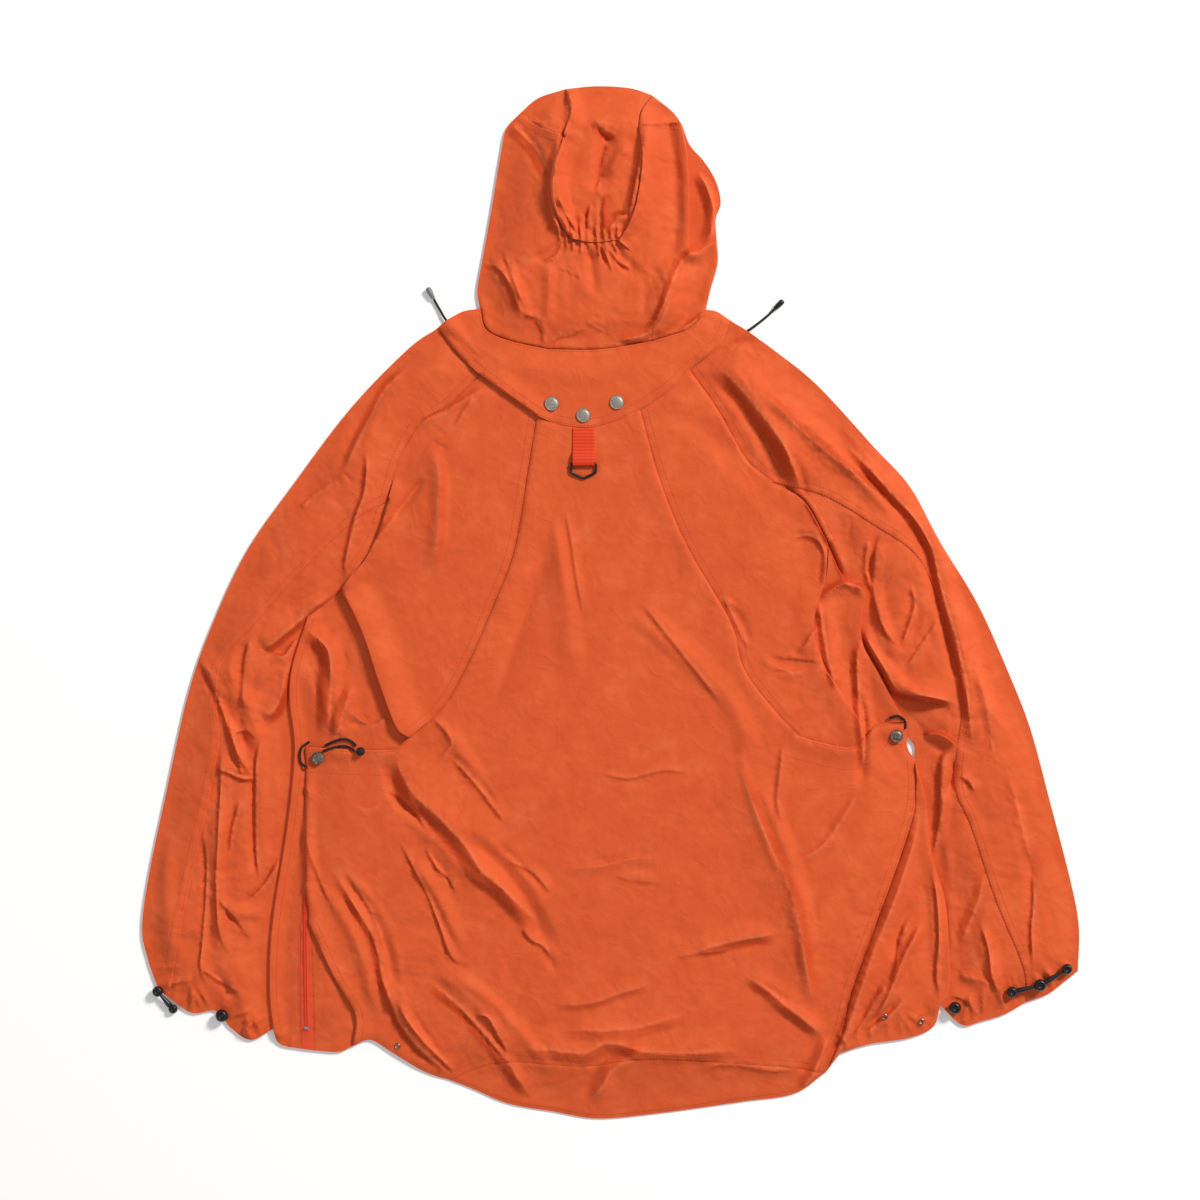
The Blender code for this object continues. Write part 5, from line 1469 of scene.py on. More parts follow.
# %% Zip tape
zip_tape, shader = new_material("woven polyester zip tape", "E8461B", 0.6)
spot = add_node(zip_tape, "TexCoord").outputs["Object"]
twill = add_node(zip_tape, "TexWave", {
    "Scale": 260.0, "Distortion": 0.6, "bands_direction": "DIAGONAL"}, {"Vector": spot})
tone = add_node(zip_tape, "ValToRGB", {"stops": [(0.0, "DD4016"), (1.0, "F25326")]},
                {"Fac": twill.outputs["Fac"]})
ribbed = add_node(zip_tape, "Bump", {"Strength": 0.5, "Distance": 0.0002},
                  {"Height": twill.outputs["Fac"]})
link_shader(zip_tape, shader, {"Base Color": tone.outputs["Color"], "Normal": ribbed.outputs["Normal"]})
print("zip tape nodes:", len(zip_tape.node_tree.nodes))

# %% [markdown]
# ## The back panels
# Each panel of the back is its own sheet, as it was cut and sewn, with the cloth's real thickness.

# %% Back panels
FINE_PANELS = ("yoke", "underarm_panel_right", "side_zip_tape", "side_gusset_left")


def finish_panel(piece, name, wall, material):
    """Give a sheet its wall, its material and its place in the frame."""
    give_thickness(piece, wall)
    piece.data.materials.append(material)
    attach(piece, BODY)
    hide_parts(name)
    print(name, len(piece.data.polygons), "faces")


for name, group, edge_lift, seam_list in PANELS:
    cell = FINE_CELL if group in ("hood", "brim") or name in FINE_PANELS else CELL
    loop = outline(seam_list, cell)
    piece = sheet_object(f"{name}_shell", loop, cell, lambda p: cloth_top(p, name, group, edge_lift),
                         crest_rows(group))
    slot, material = ("zip_tape", zip_tape) if name == "side_zip_tape" else ("shell_cloth", shell_cloth)
    finish_panel(piece, name, SHELL, material)

# %% [markdown]
# ## The front panels
# The front lies flat on the table under the back, so it has only slight crinkles and coarser points.

# %% Front panels of cloth
FRONT_CELL, FRONT_STEP, FRONT_SHELL, FRONT_TOP = 6.0, 5.0, 0.7, 1.05


def front_top(points):
    """Height of the front's top, which has no tuck and so no painted light and shade."""
    slight = 0.125 * (wave_noise(points, 30.0, 41) - 1.0)
    return FRONT_TOP + slight, np.zeros(len(points))


for name, seam_list in FRONT_PANELS:
    loop = outline(seam_list, FRONT_STEP)
    piece = sheet_object(f"{name}_shell", loop, FRONT_CELL, front_top)
    finish_panel(piece, name, FRONT_SHELL, shell_cloth)

# %% [markdown]
# ## Sewing
# Each topstitch row runs beside its seam on the panel that lies on top. A stitch is one small bar of
# thread, 2.5 mm long, and the rows hold a stitch every 3.4 mm, so there are thousands of them: one is
# made and its corners are set along the rows, each one on the cloth and along its slope.

# %% One bar of thread
STITCH_PITCH, STITCH_SIZE = 3.4, (2.5, 0.55, 0.4)
STITCH_LENGTH = STITCH_SIZE[0]
bpy.ops.mesh.primitive_cube_add(size=1.0)
bar = bpy.context.object
bpy.ops.object.mode_set(mode="EDIT")
bpy.ops.mesh.bevel(offset=0.2, segments=1)
bpy.ops.object.mode_set(mode="OBJECT")
bar_corners = np.array([tuple(v.co) for v in bar.data.vertices])
bar_faces = [list(face.vertices) for face in bar.data.polygons]
bpy.data.objects.remove(bar)


def add_bar(corners, faces, size, put):
    """Add one bar of that size, whose corners the function put sets on the plan."""
    start = len(corners)
    corners += [put(*corner) for corner in bar_corners * size]
    faces += [[start + k for k in face] for face in bar_faces]


def bars_object(name, corners, faces, material):
    """One piece of many bars."""
    mesh = bpy.data.meshes.new(name)
    mesh.from_pydata(corners, [], faces)
    piece = add_object(name, mesh)
    piece.data.materials.append(material)
    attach(piece, BODY)
    return piece


print("a stitch has", len(bar_faces), "faces")

# %% Sewing thread
# Spun polyester with a slight twist, a shade darker than the shell.
thread, shader = new_material("polyester sewing thread", "CF4C22", 0.55)
print("thread made")

# %% Topstitching
panel_rows = {name: (group, edge_lift, seam_list) for name, group, edge_lift, seam_list in PANELS}


def row_beside(seam, panel, distance):
    """Points every stitch along a row at a distance from a seam, on the side of the given panel."""
    line = seam_line(seam, 2.0)
    _, across = ahead_and_across(line)
    loop = outline(panel_rows[panel][2], 8.0)
    right, left = inside(line + across * distance, loop), inside(line - across * distance, loop)
    side = 1.0 if right.sum() > left.sum() else -1.0
    row = (line + across * distance * side)[right if side > 0 else left]
    along = np.concatenate([[0.0], np.cumsum(np.linalg.norm(np.diff(row, axis=0), axis=1))])
    ticks = np.arange(STITCH_PITCH / 2, along[-1], STITCH_PITCH)
    return np.stack([np.interp(ticks, along, row[:, 0]), np.interp(ticks, along, row[:, 1])], 1)


def sew_row(corners, faces, row, panel):
    """Add the stitches of one row, each from the cloth's height at its one end to that at its other."""
    group, edge_lift, _ = panel_rows[panel]
    ahead, _ = ahead_and_across(row)
    lows, highs = [cloth_top(row + ahead * share * STITCH_LENGTH, panel, group, edge_lift)[0]
                   for share in (-0.5, 0.5)]
    for (u, v), (du, dv), low, high in zip(row, ahead, lows, highs):
        add_bar(corners, faces, STITCH_SIZE, lambda along, across, up: place(
            u + du * along - dv * across, v + dv * along + du * across,
            low + (high - low) * (along / STITCH_LENGTH + 0.5) + up + 0.05))


corners, faces = [], []
for seam, panel, *distances in TOPSTITCH:
    for distance in distances:
        row = row_beside(seam, panel, distance)
        if len(row) > 2:
            sew_row(corners, faces, row, panel)
topstitching = bars_object("topstitching", corners, faces, thread)
topstitching.data.shade_smooth()
print("stitches:", len(faces) // len(bar_faces), "faces:", len(faces))

# %% [markdown]
# ## Side zip
# A nylon coil zip: each side of the coil shows as a row of small turns, 1.4 mm apart, and the row ends
# in a pressed metal stop. The same bar serves for a turn of the coil, only fatter.

# %% Side zip
ZIP_TOP_V, ZIP_END_V, COIL_PITCH, COIL_TURN = 897.0, 1027.0, 1.4, (0.95, 1.9, 1.1)
HALF_COIL, STAGGER = 1.05, 0.35  # how far each side stands from the middle, and from its twin
# The moulded coil is smooth nylon, a little shinier than the tape.
coil_nylon, shader = new_material("nylon zip coil", "F04A1C", 0.42)
zip_edge_left = seam_line("zip_left", 2.0)
zip_edge_right = np.array(curve_points(SEAMS["overlay_left_zip"] + SEAMS["zip_right"][1:], 2.0))
ticks = np.arange(ZIP_TOP_V, ZIP_END_V, COIL_PITCH)
middle = 0.5 * (np.interp(ticks, zip_edge_left[:, 1], zip_edge_left[:, 0])
                + np.interp(ticks, zip_edge_right[:, 1], zip_edge_right[:, 0]))
level = cloth_top(np.stack([middle, ticks], 1), "side_zip_tape", "body", 0.6)[0]
corners, faces = [], []
for u, v, z in zip(middle, ticks, level):
    for side in (-1.0, 1.0):
        add_bar(corners, faces, COIL_TURN, lambda along, across, up: place(
            u + side * HALF_COIL + across, v + along + STAGGER * side, z + up + 0.35))
side_zip_coil = bars_object("side_zip_coil", corners, faces, coil_nylon)
side_zip_coil.data.shade_smooth()
print("coil turns:", 2 * len(ticks), "over", ZIP_END_V - ZIP_TOP_V, "mm")

# %% [markdown]
# ## Metals and plastics
# The snaps are nickel-plated brass, bright on the yoke and worn dark on the pockets. Brushing and
# tarnish vary their colour and keep them from looking like mirrors. The locks and cord ends are
# moulded acetal with the fine grain of the mould.

# %% Metals
nickel, shader = new_material("brushed nickel", "CFC7BC", 0.34, 1.0)
spot = add_node(nickel, "TexCoord").outputs["Object"]
brushed = add_node(nickel, "TexNoise", {"Scale": 900.0, "Detail": 3.0}, {"Vector": spot})
tone = add_node(nickel, "ValToRGB", {"stops": [(0.3, "A79D90"), (0.7, "E4DDD2")]},
                {"Fac": brushed.outputs["Fac"]})
hammer = add_node(nickel, "Bump", {"Strength": 0.2, "Distance": 0.0001},
                  {"Height": brushed.outputs["Fac"]})
link_shader(nickel, shader, {"Base Color": tone.outputs["Color"], "Normal": hammer.outputs["Normal"]})

old_nickel, shader = new_material("antique nickel", "8B7A6C", 0.38, 1.0)
spot = add_node(old_nickel, "TexCoord").outputs["Object"]
tarnish = add_node(old_nickel, "TexNoise", {"Scale": 600.0, "Detail": 4.0}, {"Vector": spot})
tone = add_node(old_nickel, "ValToRGB", {"stops": [(0.3, "5E4C41"), (0.7, "B5A89B")]},
                {"Fac": tarnish.outputs["Fac"]})
link_shader(old_nickel, shader, {"Base Color": tone.outputs["Color"]})
print("metals: 2")

# %% Plastics
def moulded(name, colour, roughness):
    """Moulded acetal with the fine grain of its mould."""
    plastic, shader = new_material(name, colour, roughness)
    spot = add_node(plastic, "TexCoord").outputs["Object"]
    grain = add_node(plastic, "TexNoise", {"Scale": 2500.0, "Detail": 2.0}, {"Vector": spot})
    matt = add_node(plastic, "Bump", {"Strength": 0.15, "Distance": 0.00005},
                    {"Height": grain.outputs["Fac"]})
    link_shader(plastic, shader, {"Normal": matt.outputs["Normal"]})
    return plastic


black_plastic = moulded("moulded black acetal", "151517", 0.36)
# The left cord end is the same black acetal as the right, painted grey as a highlight.
painted_highlight_tip_plastic = moulded("moulded smoke-grey acetal", "77777A", 0.4)
print("plastics: 2")

# %% [markdown]
# ## Cord and webbing
# Elastic cord has a braided cover, whose small lozenges a cell pattern gives well enough at this size,
# each about 0.8 mm across. Webbing is a thick narrow weave with ribs across it, so two crossed waves
# are multiplied: the ribs are drawn 3.3 mm apart and the yarns 1.7 mm, coarse enough to show.

# %% Cord and webbing
black_cord, shader = new_material("braided black elastic cord", "17171A", 0.75)
spot = add_node(black_cord, "TexCoord").outputs["Object"]
braid = add_node(black_cord, "TexVoronoi", {"Scale": 1300.0}, {"Vector": spot})
tone = add_node(black_cord, "ValToRGB", {"stops": [(0.1, "1E1E21"), (0.6, "0B0B0C")]},
                {"Fac": braid.outputs["Distance"]})
strands = add_node(black_cord, "Bump", {"Strength": 0.6, "Distance": 0.0002, "invert": True},
                   {"Height": braid.outputs["Distance"]})
link_shader(black_cord, shader, {"Base Color": tone.outputs["Color"], "Normal": strands.outputs["Normal"]})

webbing, shader = new_material("woven nylon webbing", "E8420F", 0.6)
spot = add_node(webbing, "TexCoord").outputs["Object"]
ribs, yarns = [
    add_node(webbing, "TexWave", {"Scale": scale, "Distortion": bend, "bands_direction": way},
             {"Vector": spot}) for scale, bend, way in ((95.0, 0.3, "Y"), (180.0, 0.5, "X"))]
weave = add_node(webbing, "Math", {"operation": "MULTIPLY"},
                 {0: ribs.outputs["Fac"], 1: yarns.outputs["Fac"]})
tone = add_node(webbing, "ValToRGB", {"stops": [(0.0, "CE3407"), (0.6, "EE4513")]},
                {"Fac": weave.outputs[0]})
ribbed = add_node(webbing, "Bump", {"Strength": 0.6, "Distance": 0.0003},
                  {"Height": weave.outputs[0]})
link_shader(webbing, shader, {"Base Color": tone.outputs["Color"], "Normal": ribbed.outputs["Normal"]})
shader.inputs["Specular IOR Level"].default_value = 0.3
print("materials:", len(bpy.data.materials))

# %% Stop of the side zip
bpy.ops.object.select_all(action="DESELECT")
bpy.ops.mesh.primitive_cube_add(size=1.0)
zip_stop = bpy.context.object
zip_stop.name = "side_zip_stop"
bpy.ops.object.mode_set(mode="EDIT")
bpy.ops.mesh.bevel(offset=0.18, segments=3)
bpy.ops.object.mode_set(mode="OBJECT")
zip_stop.data.transform(Matrix.Translation(place(middle[-1], ZIP_END_V + 1.6, level[-1] + 0.7))
                        @ Matrix.Diagonal((4.6 * MM, 2.6 * MM, 1.5 * MM, 1.0)))
zip_stop.data.materials.append(nickel)
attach(zip_stop, BODY)
bpy.ops.object.select_all(action="DESELECT")
print("stop:", len(zip_stop.data.polygons), "faces")

# %% [markdown]
# ## Trims on the cloth
# The trims lie on the finished cloth. Their heights are measured on it with rays from above, so each
# one touches the folds under it and sinks into none of them.

# %% Heights on the cloth
bpy.context.view_layer.update()
depsgraph = bpy.context.evaluated_depsgraph_get()
cloth_trees = [BVHTree.FromObject(bpy.data.objects[f"{name}_shell"], depsgraph) for name, *_ in PANELS]
SKY, DOWN = 200.0, Vector((0.0, 0.0, -1.0))  # a height above everything, in millimetres, and the way down


def top_at(u, v):
    """Height in millimetres of the top of the cloth."""
    hits = [tree.ray_cast(place(u, v, SKY), DOWN)[0] for tree in cloth_trees]
    return max([hit.z / MM for hit in hits if hit is not None], default=0.0)


def seat(u, v, radius):
    """The lowest height at which a flat round piece clears the cloth."""
    angles = np.linspace(0.0, 2 * math.pi, 12, endpoint=False)
    rim = [(u + radius * share * math.cos(a), v + radius * share * math.sin(a))
           for share in (0.5, 1.0) for a in angles]
    return max(top_at(*spot) for spot in rim + [(u, v)])


def dress(piece, node, material, body=BODY):
    """Give a trim its material and its place in the frame."""
    piece.data.materials.append(material)
    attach(piece, body)
    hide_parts(node)


print("cloth at the middle of the yoke:", round(top_at(583.5, 380.0), 1), "mm")

# %% [markdown]
# ## Snaps and eyelets
# A snap cap and an eyelet are round, so half of the section is drawn as a line and spun round its
# axis. The cap is a low dome with a hollow beside its rolled rim, and it catches the light there.

# %% Spinning a round piece
def spun(name, profile):
    """A round piece about the Z axis, spun from its profile of radius and height."""
    bpy.ops.object.select_all(action="DESELECT")
    mesh = bpy.data.meshes.new(name)
    mesh.from_pydata([(radius * MM, 0.0, height * MM) for radius, height in profile],
                     [(i, i + 1) for i in range(len(profile) - 1)], [])
    piece = add_object(name, mesh)
    bpy.context.view_layer.objects.active = piece
    piece.select_set(True)
    bpy.ops.object.mode_set(mode="EDIT")
    bpy.ops.mesh.select_all(action="SELECT")
    bpy.ops.mesh.spin(steps=32, angle=2 * math.pi, center=(0, 0, 0), axis=(0, 0, 1))
    bpy.ops.mesh.select_all(action="SELECT")
    bpy.ops.mesh.remove_doubles(threshold=0.00002)
    bpy.ops.mesh.normals_make_consistent(inside=False)
    bpy.ops.object.mode_set(mode="OBJECT")
    bpy.ops.object.shade_smooth_by_angle(angle=math.radians(50))
    bpy.ops.object.select_all(action="DESELECT")
    return piece


def set_down(piece, u, v, z):
    """Move a spun piece's mesh to its place on the plan."""
    piece.data.transform(Matrix.Translation(place(u, v, z)))
    return piece


print("a spun piece has 32 sides")

# %% Snaps
SNAP_RADIUS, SNAP_HEIGHT, POCKET_SNAP_RADIUS = 7.2, 2.6, 6.4
YOKE_SNAPS = [(552, 404), (583.5, 415.5), (617, 402.5)]
POCKET_SNAPS = {"left": (318, 758), "right": (897, 736)}
# Section of the cap, as shares of its radius and height.
CAP = [(0.0, 1.0), (0.4, 0.97), (0.7, 0.86), (0.84, 0.72), (0.88, 0.74), (0.94, 0.76), (0.99, 0.6),
       (1.0, 0.4), (0.97, 0.15), (0.9, 0.0), (0.0, 0.0)]


def snap_cap(name, radius, u, v):
    """A snap's cap, seated on the cloth."""
    cap = spun(name, [(radius * r, SNAP_HEIGHT * h) for r, h in CAP])
    return set_down(cap, u, v, seat(u, v, radius * 0.9))


for number, (u, v) in enumerate(YOKE_SNAPS, 1):
    cap = snap_cap(f"yoke_snap_cap_{number}", SNAP_RADIUS, u, v)
    dress(cap, f"yoke_snap_{number}", nickel)
for side, (u, v) in POCKET_SNAPS.items():
    cap = snap_cap(f"pocket_snap_cap_{side}", POCKET_SNAP_RADIUS, u, v)
    dress(cap, f"pocket_snap_{side}", old_nickel)
print("snaps:", len(YOKE_SNAPS) + len(POCKET_SNAPS))

# %% Eyelets
HEM_EYELETS = [(397, 1047), (885, 1017), (922, 1022)]
EYELET_RADIUS, EYELET_HOLE = 3.2, 1.5
EYELET = [(EYELET_HOLE, 0.0), (EYELET_HOLE, 0.5), (EYELET_HOLE + 0.35, 0.9), (EYELET_HOLE + 0.9, 1.0),
          (EYELET_RADIUS - 0.25, 0.6), (EYELET_RADIUS, 0.2), (EYELET_RADIUS, 0.0), (EYELET_HOLE, 0.0)]
for number, (u, v) in enumerate(HEM_EYELETS, 1):
    rim = set_down(spun(f"hem_eyelet_rim_{number}", EYELET), u, v, seat(u, v, EYELET_RADIUS) + 0.05)
    dress(rim, f"hem_eyelet_{number}", old_nickel)
print("eyelets:", len(HEM_EYELETS))

# %% [markdown]
# ## Hood drawcords
# Each hood cord comes out of a gland in the neck's tunnel, lies over the shoulder and ends in a moulded
# tip. A cord is one curve with a round bevel along its route, and its length is that of the curve.

# %% Hood drawcords
def round_line(name, points, radius, cyclic=False):
    """A curve through points in metres with a round section of that radius in millimetres."""
    curve = bpy.data.curves.new(name, "CURVE")
    curve.dimensions = "3D"
    curve.bevel_depth = radius * MM
    curve.bevel_resolution = 4
    curve.use_fill_caps = not cyclic
    spline = curve.splines.new("POLY")
    spline.points.add(len(points) - 1)
    for dot, point in zip(spline.points, points):
        dot.co = (*point, 1.0)
    spline.use_cyclic_u = cyclic
    spline.use_smooth = True
    return add_object(name, curve)


def line_length(points):
    """Length in metres of a line through points."""
    return sum((b - a).length for a, b in zip(points, points[1:]))


def aimed(piece, foot, way):
    """Turn a spun piece's axis to a direction and set its foot on a point."""
    piece.data.transform(Matrix.Translation(foot) @ way.to_track_quat("Z", "X").to_matrix().to_4x4())
    return piece


CORD_RADIUS, TIP_RADIUS, TIP_LENGTH, GLAND_LENGTH, GAP = 1.25, 2.9, 12.5, 7.0, 0.3
HOOD_CORDS = {
    "left": [
        (470, 345, 3.4), (464, 339, 3.4), (457, 332, 3.3), (450, 325, 3.1), (444, 317, 2.9), (440, 310, 2.3),
        (436.5, 304, 1.9), (433.2, 298, 2.4),
    ],
    "right": [
        (709, 350.5, 3.4), (717, 346.5, 3.4), (726, 342, 3.4), (735, 337.5, 3.3), (744, 332.6, 3.1),
        (752, 327.5, 2.9), (760, 321.5, 2.2), (768, 315, 1.8), (774.6, 308.6, 2.4),
    ],
}
# Sections of the moulded cord end and of the gland inside the neck, as radius and share of length.
TIP = [(0.0, 1.0), (1.6, 0.985), (2.5, 0.92), (2.9, 0.8), (2.8, 0.55), (2.3, 0.25), (1.9, 0.06),
       (1.7, 0.0), (0.0, 0.0)]
GLAND = [(0.0, 1.0), (1.3, 1.0), (1.8, 0.9), (1.9, 0.5), (1.8, 0.1), (1.3, 0.0), (0.0, 0.0)]
for side, route in HOOD_CORDS.items():
    points = [place(*p) for p in curve_points(route, 2.0)]
    cord = round_line(f"hood_drawcord_{side}", points, CORD_RADIUS)
    dress(cord, f"hood_cord_{side}", black_cord)
    first, second, before, last = [place(*route[k]) for k in (0, 1, -2, -1)]
    back = (first - second).normalized()
    gland = aimed(spun(f"hood_gland_{side}", [(r, share * GLAND_LENGTH) for r, share in GLAND]),
                  first + back * (GLAND_LENGTH + GAP) * MM, -back)
    dress(gland, f"hood_cord_gland_{side}", black_plastic)
    ahead = Vector((last.x - before.x, last.y - before.y, 0.0)).normalized()
    tip = aimed(spun(f"hood_cord_end_{side}", [(r, share * TIP_LENGTH) for r, share in TIP]),
                Vector((last.x, last.y, (TIP_RADIUS + GAP) * MM)) + ahead * GAP * MM, ahead)
    # The left tip gets the grey plastic, a painted highlight; the right one is black.
    dress(tip, f"hood_cord_tip_{side}", painted_highlight_tip_plastic if side == "left" else black_plastic)
    print(f"hood cord {side}: {line_length(points) * 1000:.1f} mm")

# %% [markdown]
# ## Pocket loops and drawcord
# A loop of elastic stands at each pocket corner, and the left pocket's drawcord comes out as two
# strands with a knot. They are laid on the cloth: their height is measured at every point.

# %% Pocket loops
LOOP_RADIUS = 1.2
POCKET_LOOPS = {"left": [(309, 742), (302, 747), (299.5, 755), (301, 763), (307, 768)],
                "right": [(889, 718), (898, 716), (905, 721), (906, 729)]}


def laid(route, radius, step=1.5):
    """Points in metres on a smooth curve through a route of U and V, laid on the cloth."""
    flat = curve_points(route, step)
    heights = np.array([seat(u, v, radius) for u, v in flat])
    heights = np.array([heights[max(0, i - 1) : i + 2].max() for i in range(len(heights))])
    return [place(u, v, z + radius + 0.1) for (u, v), z in zip(flat, heights)]


for side, route in POCKET_LOOPS.items():
    loop = round_line(f"pocket_elastic_{side}", laid(route, LOOP_RADIUS), LOOP_RADIUS)
    dress(loop, f"pocket_loop_{side}", black_cord)
print("pocket loops:", len(POCKET_LOOPS))

# %% [markdown]
# ## Cord locks and cuff elastic
# The cuffs are drawn in by elastic between button-shaped locks. A lock is spun, a little flattened,
# and it lies with its belly on the cloth. A tapered sleeve covers the elastic between two locks.

# %% Cord locks
BALL_FLAT = 0.72
CUFF_BALLS = {"left_a": (157, 992, 5.4), "left_b": (172, 1010, 4.6), "left_c": (221.5, 1016, 6.4),
              "right_a": (1012, 992, 5.4), "right_b": (1040, 985, 6.2), "right_c": (1067, 969, 5.4),
              "right_d": (955, 1008, 6.2)}
# Section of a lock as shares of its radius and half height: a button with a hollow on top.
LOCK = [(0.0, 0.62), (0.3, 0.62), (0.42, 0.7), (0.5, 0.98), (0.62, 1.0), (0.8, 0.78), (0.94, 0.4), (1.0, 0.0),
        (0.94, -0.4), (0.8, -0.7), (0.5, -0.95), (0.0, -1.0)]


def ball_level(u, v, radius):
    """Height of the middle of a flattened ball that just clears the cloth."""
    level = 0.0
    for share in (0.0, 0.35, 0.7, 0.95):
        for angle in np.linspace(0.0, 2 * math.pi, 10, endpoint=False):
            under = top_at(u + share * radius * math.cos(angle), v + share * radius * math.sin(angle))
            level = max(level, under + math.sqrt(1.0 - share * share) * radius * BALL_FLAT)
    return level + 0.1


middles = {}
for spot, (u, v, radius) in CUFF_BALLS.items():
    z = ball_level(u, v, radius)
    middles[spot] = place(u, v, z)
    lock = spun(f"cord_lock_{spot}", [(radius * r, radius * BALL_FLAT * h) for r, h in LOCK])
    dress(set_down(lock, u, v, z), f"cuff_lock_{spot}", black_plastic)
print("locks:", len(middles))

# %% Cuff elastic
CUFF_ELASTICS = [("left_a", "left_b"), ("right_a", "right_b"), ("right_b", "right_c")]
# Section of the tapered sleeve over the elastic between two locks: radius and share of its length.
SLEEVE = [(0.0, 1.0), (2.4, 1.0), (2.9, 0.93), (2.7, 0.7), (2.1, 0.4), (1.8, 0.15), (1.5, 0.0), (0.0, 0.0)]
for number, (first, second) in enumerate(CUFF_ELASTICS, 1):
    ahead = (middles[second] - middles[first]).normalized()
    start = middles[first] + ahead * (CUFF_BALLS[first][2] * 0.85) * MM
    end = middles[second] - ahead * (CUFF_BALLS[second][2] * 0.85) * MM
    length = (end - start).length / MM
    sleeve = spun(f"elastic_sleeve_{number}", [(r, share * length) for r, share in SLEEVE])
    if first == "left_a":
        aimed(sleeve, start, end - start)
    else:
        aimed(sleeve, end, start - end)
    dress(sleeve, f"cuff_elastic_{number}", black_plastic)
print("cuff elastics:", len(CUFF_ELASTICS))

# %% Pocket drawcord and its knot
POCKET_CORDS = {"upper": [(325, 745.5), (335, 741), (344, 739), (351, 741), (356.5, 745.5)],
                "lower": [(323, 751), (331, 748.2), (339, 746.3), (346, 746.2), (351, 748), (355.4, 750.6)]}
POCKET_KNOT = (361.2, 751, 4.4)
KNOT = [(0.0, 1.0), (0.5, 0.9), (0.85, 0.6), (1.0, 0.0), (0.85, -0.6), (0.5, -0.9), (0.0, -1.0)]
u, v, radius = POCKET_KNOT
knot = spun("pocket_cord_stopper", [(radius * r, radius * BALL_FLAT * h) for r, h in KNOT])
dress(set_down(knot, u, v, ball_level(u, v, radius)), "pocket_cord_knot", black_cord)
for strand, route in POCKET_CORDS.items():
    points = laid(route, LOOP_RADIUS)
    cord = round_line(f"pocket_drawcord_{strand}", points, LOOP_RADIUS)
    dress(cord, f"pocket_cord_{strand}", black_cord)
    print(f"pocket cord {strand}: {line_length(points) * 1000:.1f} mm")

# %% [markdown]
# ## Webbing loop
# The hanging loop is a band that runs up from under the yoke, round the straight bar of the ring and
# back, and is sewn across above the bar. Its side view is drawn once and repeated over its width.

# %% Webbing
STRAP_U, STRAP_TOP_V, STRAP_WIDTH, STRAP_WALL, BAR_V = 583.5, 427.8, 21.6, 1.2, 463.5
RING_WIRE, RING_RUN = 1.3, 0.35
STRAP_COLUMNS = 13
bar_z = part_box("d_ring")[1][2] / MM - RING_WIRE
turn_radius = RING_WIRE + RING_RUN + STRAP_WALL / 2
length = BAR_V - STRAP_TOP_V
under = bar_z - 2 * RING_WIRE - RING_RUN - STRAP_WALL - 0.5
side_view = [(-length, under + 0.6), (-length * 0.6, under + 0.6), (-8.0, bar_z - turn_radius - 0.2)]
side_view += [(turn_radius * math.sin(a), bar_z - turn_radius * math.cos(a))
              for a in np.linspace(0.0, math.pi, 13)]
side_view += [(-4.0, bar_z + turn_radius * 0.9), (-8.0, bar_z + turn_radius * 0.55), (-12.0, under + 2.6),
              (-length * 0.6, under + 2.1), (-length, under + 2.1)]
points = [place(STRAP_U + across, BAR_V + forward, z) for forward, z in side_view
          for across in np.linspace(-0.5, 0.5, STRAP_COLUMNS) * STRAP_WIDTH]
quads = [(k, k + 1, k + STRAP_COLUMNS + 1, k + STRAP_COLUMNS)
         for row in range(len(side_view) - 1)
         for k in range(row * STRAP_COLUMNS, (row + 1) * STRAP_COLUMNS - 1)]
band = bpy.data.meshes.new("webbing_loop")
band.from_pydata(points, [], quads)
band.shade_smooth()
strap = add_object("webbing_loop", band)
wall = strap.modifiers.new("wall", "SOLIDIFY")
wall.thickness = STRAP_WALL * MM
wall.offset = 0.0
rounding = strap.modifiers.new("edges", "BEVEL")
rounding.width = 0.0003
rounding.segments = 2
dress(strap, "ring_strap", webbing)
print("webbing:", len(quads), "faces, its bar at", round(bar_z, 2), "mm")

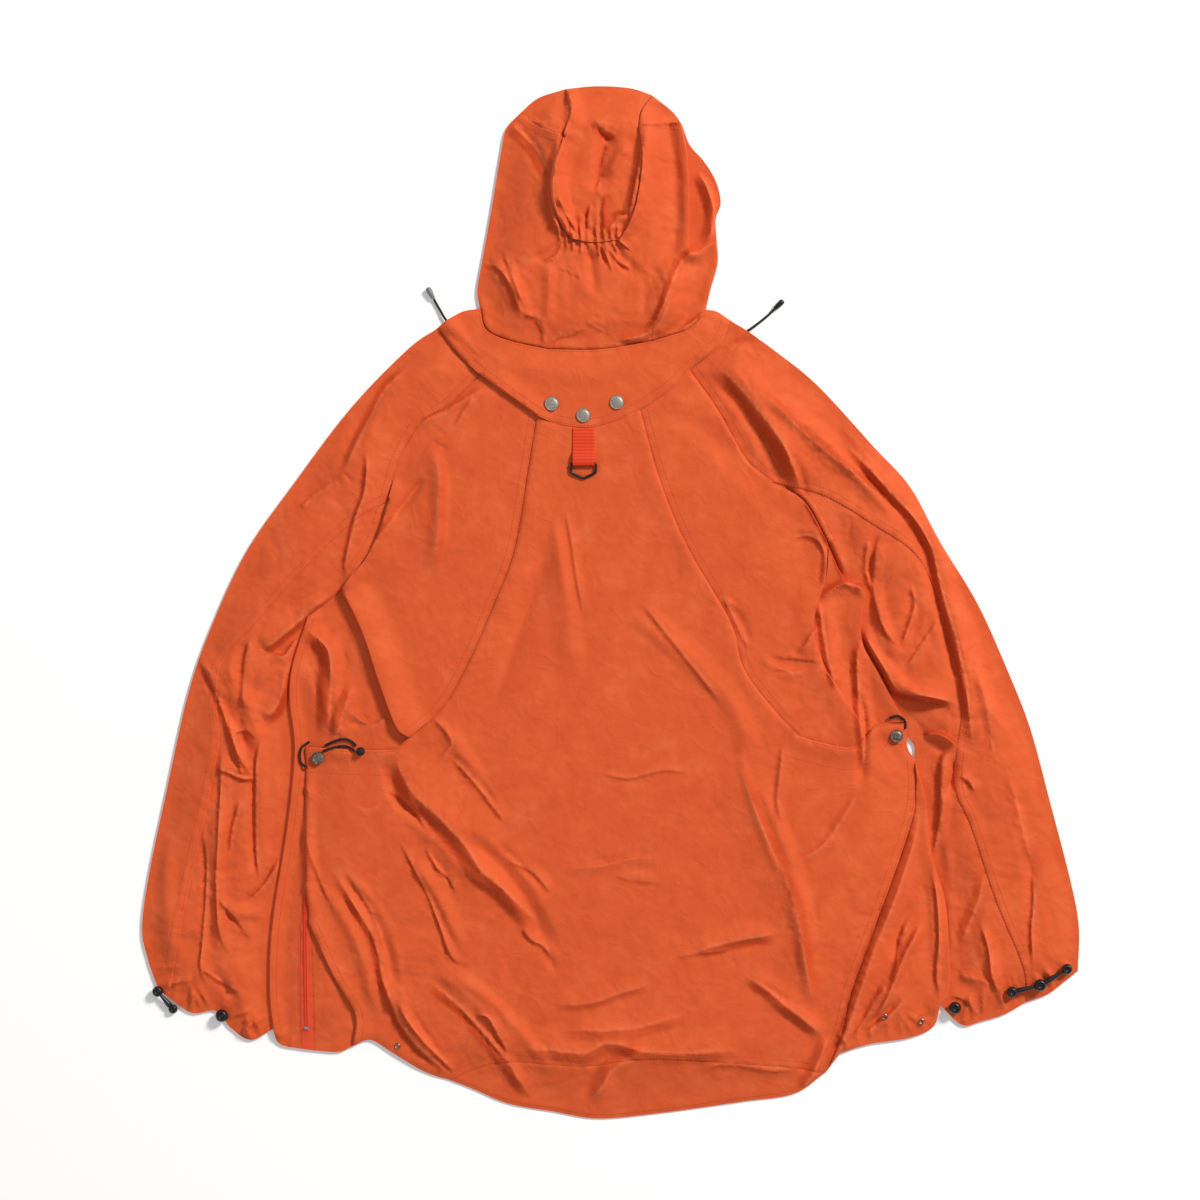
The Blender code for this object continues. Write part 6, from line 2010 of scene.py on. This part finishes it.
# %% Stitches of the webbing
STRAP_STITCHES, STRAP_SEAM_V = 6, BAR_V - 8.5
bpy.context.view_layer.update()
band_tree = BVHTree.FromObject(strap, bpy.context.evaluated_depsgraph_get())
corners, faces = [], []
for k in range(STRAP_STITCHES):
    u = STRAP_U + (k - (STRAP_STITCHES - 1) / 2) * STITCH_PITCH
    top = band_tree.ray_cast(place(u, STRAP_SEAM_V, SKY), DOWN)[0].z / MM
    add_bar(corners, faces, STITCH_SIZE,
            lambda along, across, up: place(u + along, STRAP_SEAM_V + across * 1.3, top + up + 0.1))
webbing_stitches = bars_object("webbing_stitches", corners, faces, thread)
print("stitches across the webbing:", STRAP_STITCHES)

# %% [markdown]
# ## D-ring
# The ring is bent from one round wire: a straight bar in the webbing, two sides and a blunt point. It
# lies on the cloth and leans from its bar, and it swings on that bar, so it rides its own body.

# %% D-ring
RING_SIDE, RING_DEPTH, RING_CORNER = 9.5, 15.2, 2.0
RING_HALF_WIDTH = STRAP_WIDTH / 2 + RING_RUN + RING_WIRE
cloth_z = top_at(STRAP_U, BAR_V)
lean = math.asin(max(0.0, min(0.5, (bar_z - (cloth_z + GAP + RING_WIRE)) / RING_DEPTH)))
ring_plan = [Vector(spot) for spot in (
    (RING_HALF_WIDTH, 0.0), (RING_HALF_WIDTH, RING_SIDE), (0.0, RING_DEPTH), (-RING_HALF_WIDTH, RING_SIDE),
    (-RING_HALF_WIDTH, 0.0))]
wire = []
for k, corner in enumerate(ring_plan):
    first = corner + (ring_plan[k - 1] - corner).normalized() * RING_CORNER
    last = corner + (ring_plan[(k + 1) % len(ring_plan)] - corner).normalized() * RING_CORNER
    wire += [first * (1 - t) ** 2 + corner * 2 * t * (1 - t) + last * t * t for t in np.linspace(0.0, 1.0, 7)]
hinge = place(STRAP_U, BAR_V, bar_z)
wire = [hinge + Vector((x * MM, -y * MM * math.cos(lean), -y * MM * math.sin(lean))) for x, y in wire]
ring = round_line("d_ring_wire", wire, RING_WIRE, cyclic=True)
dress(ring, "d_ring", black_plastic, RING_BODY)
print("ring's bar:", round(bar_z, 2), "cloth under it:", round(cloth_z, 2), "mm")
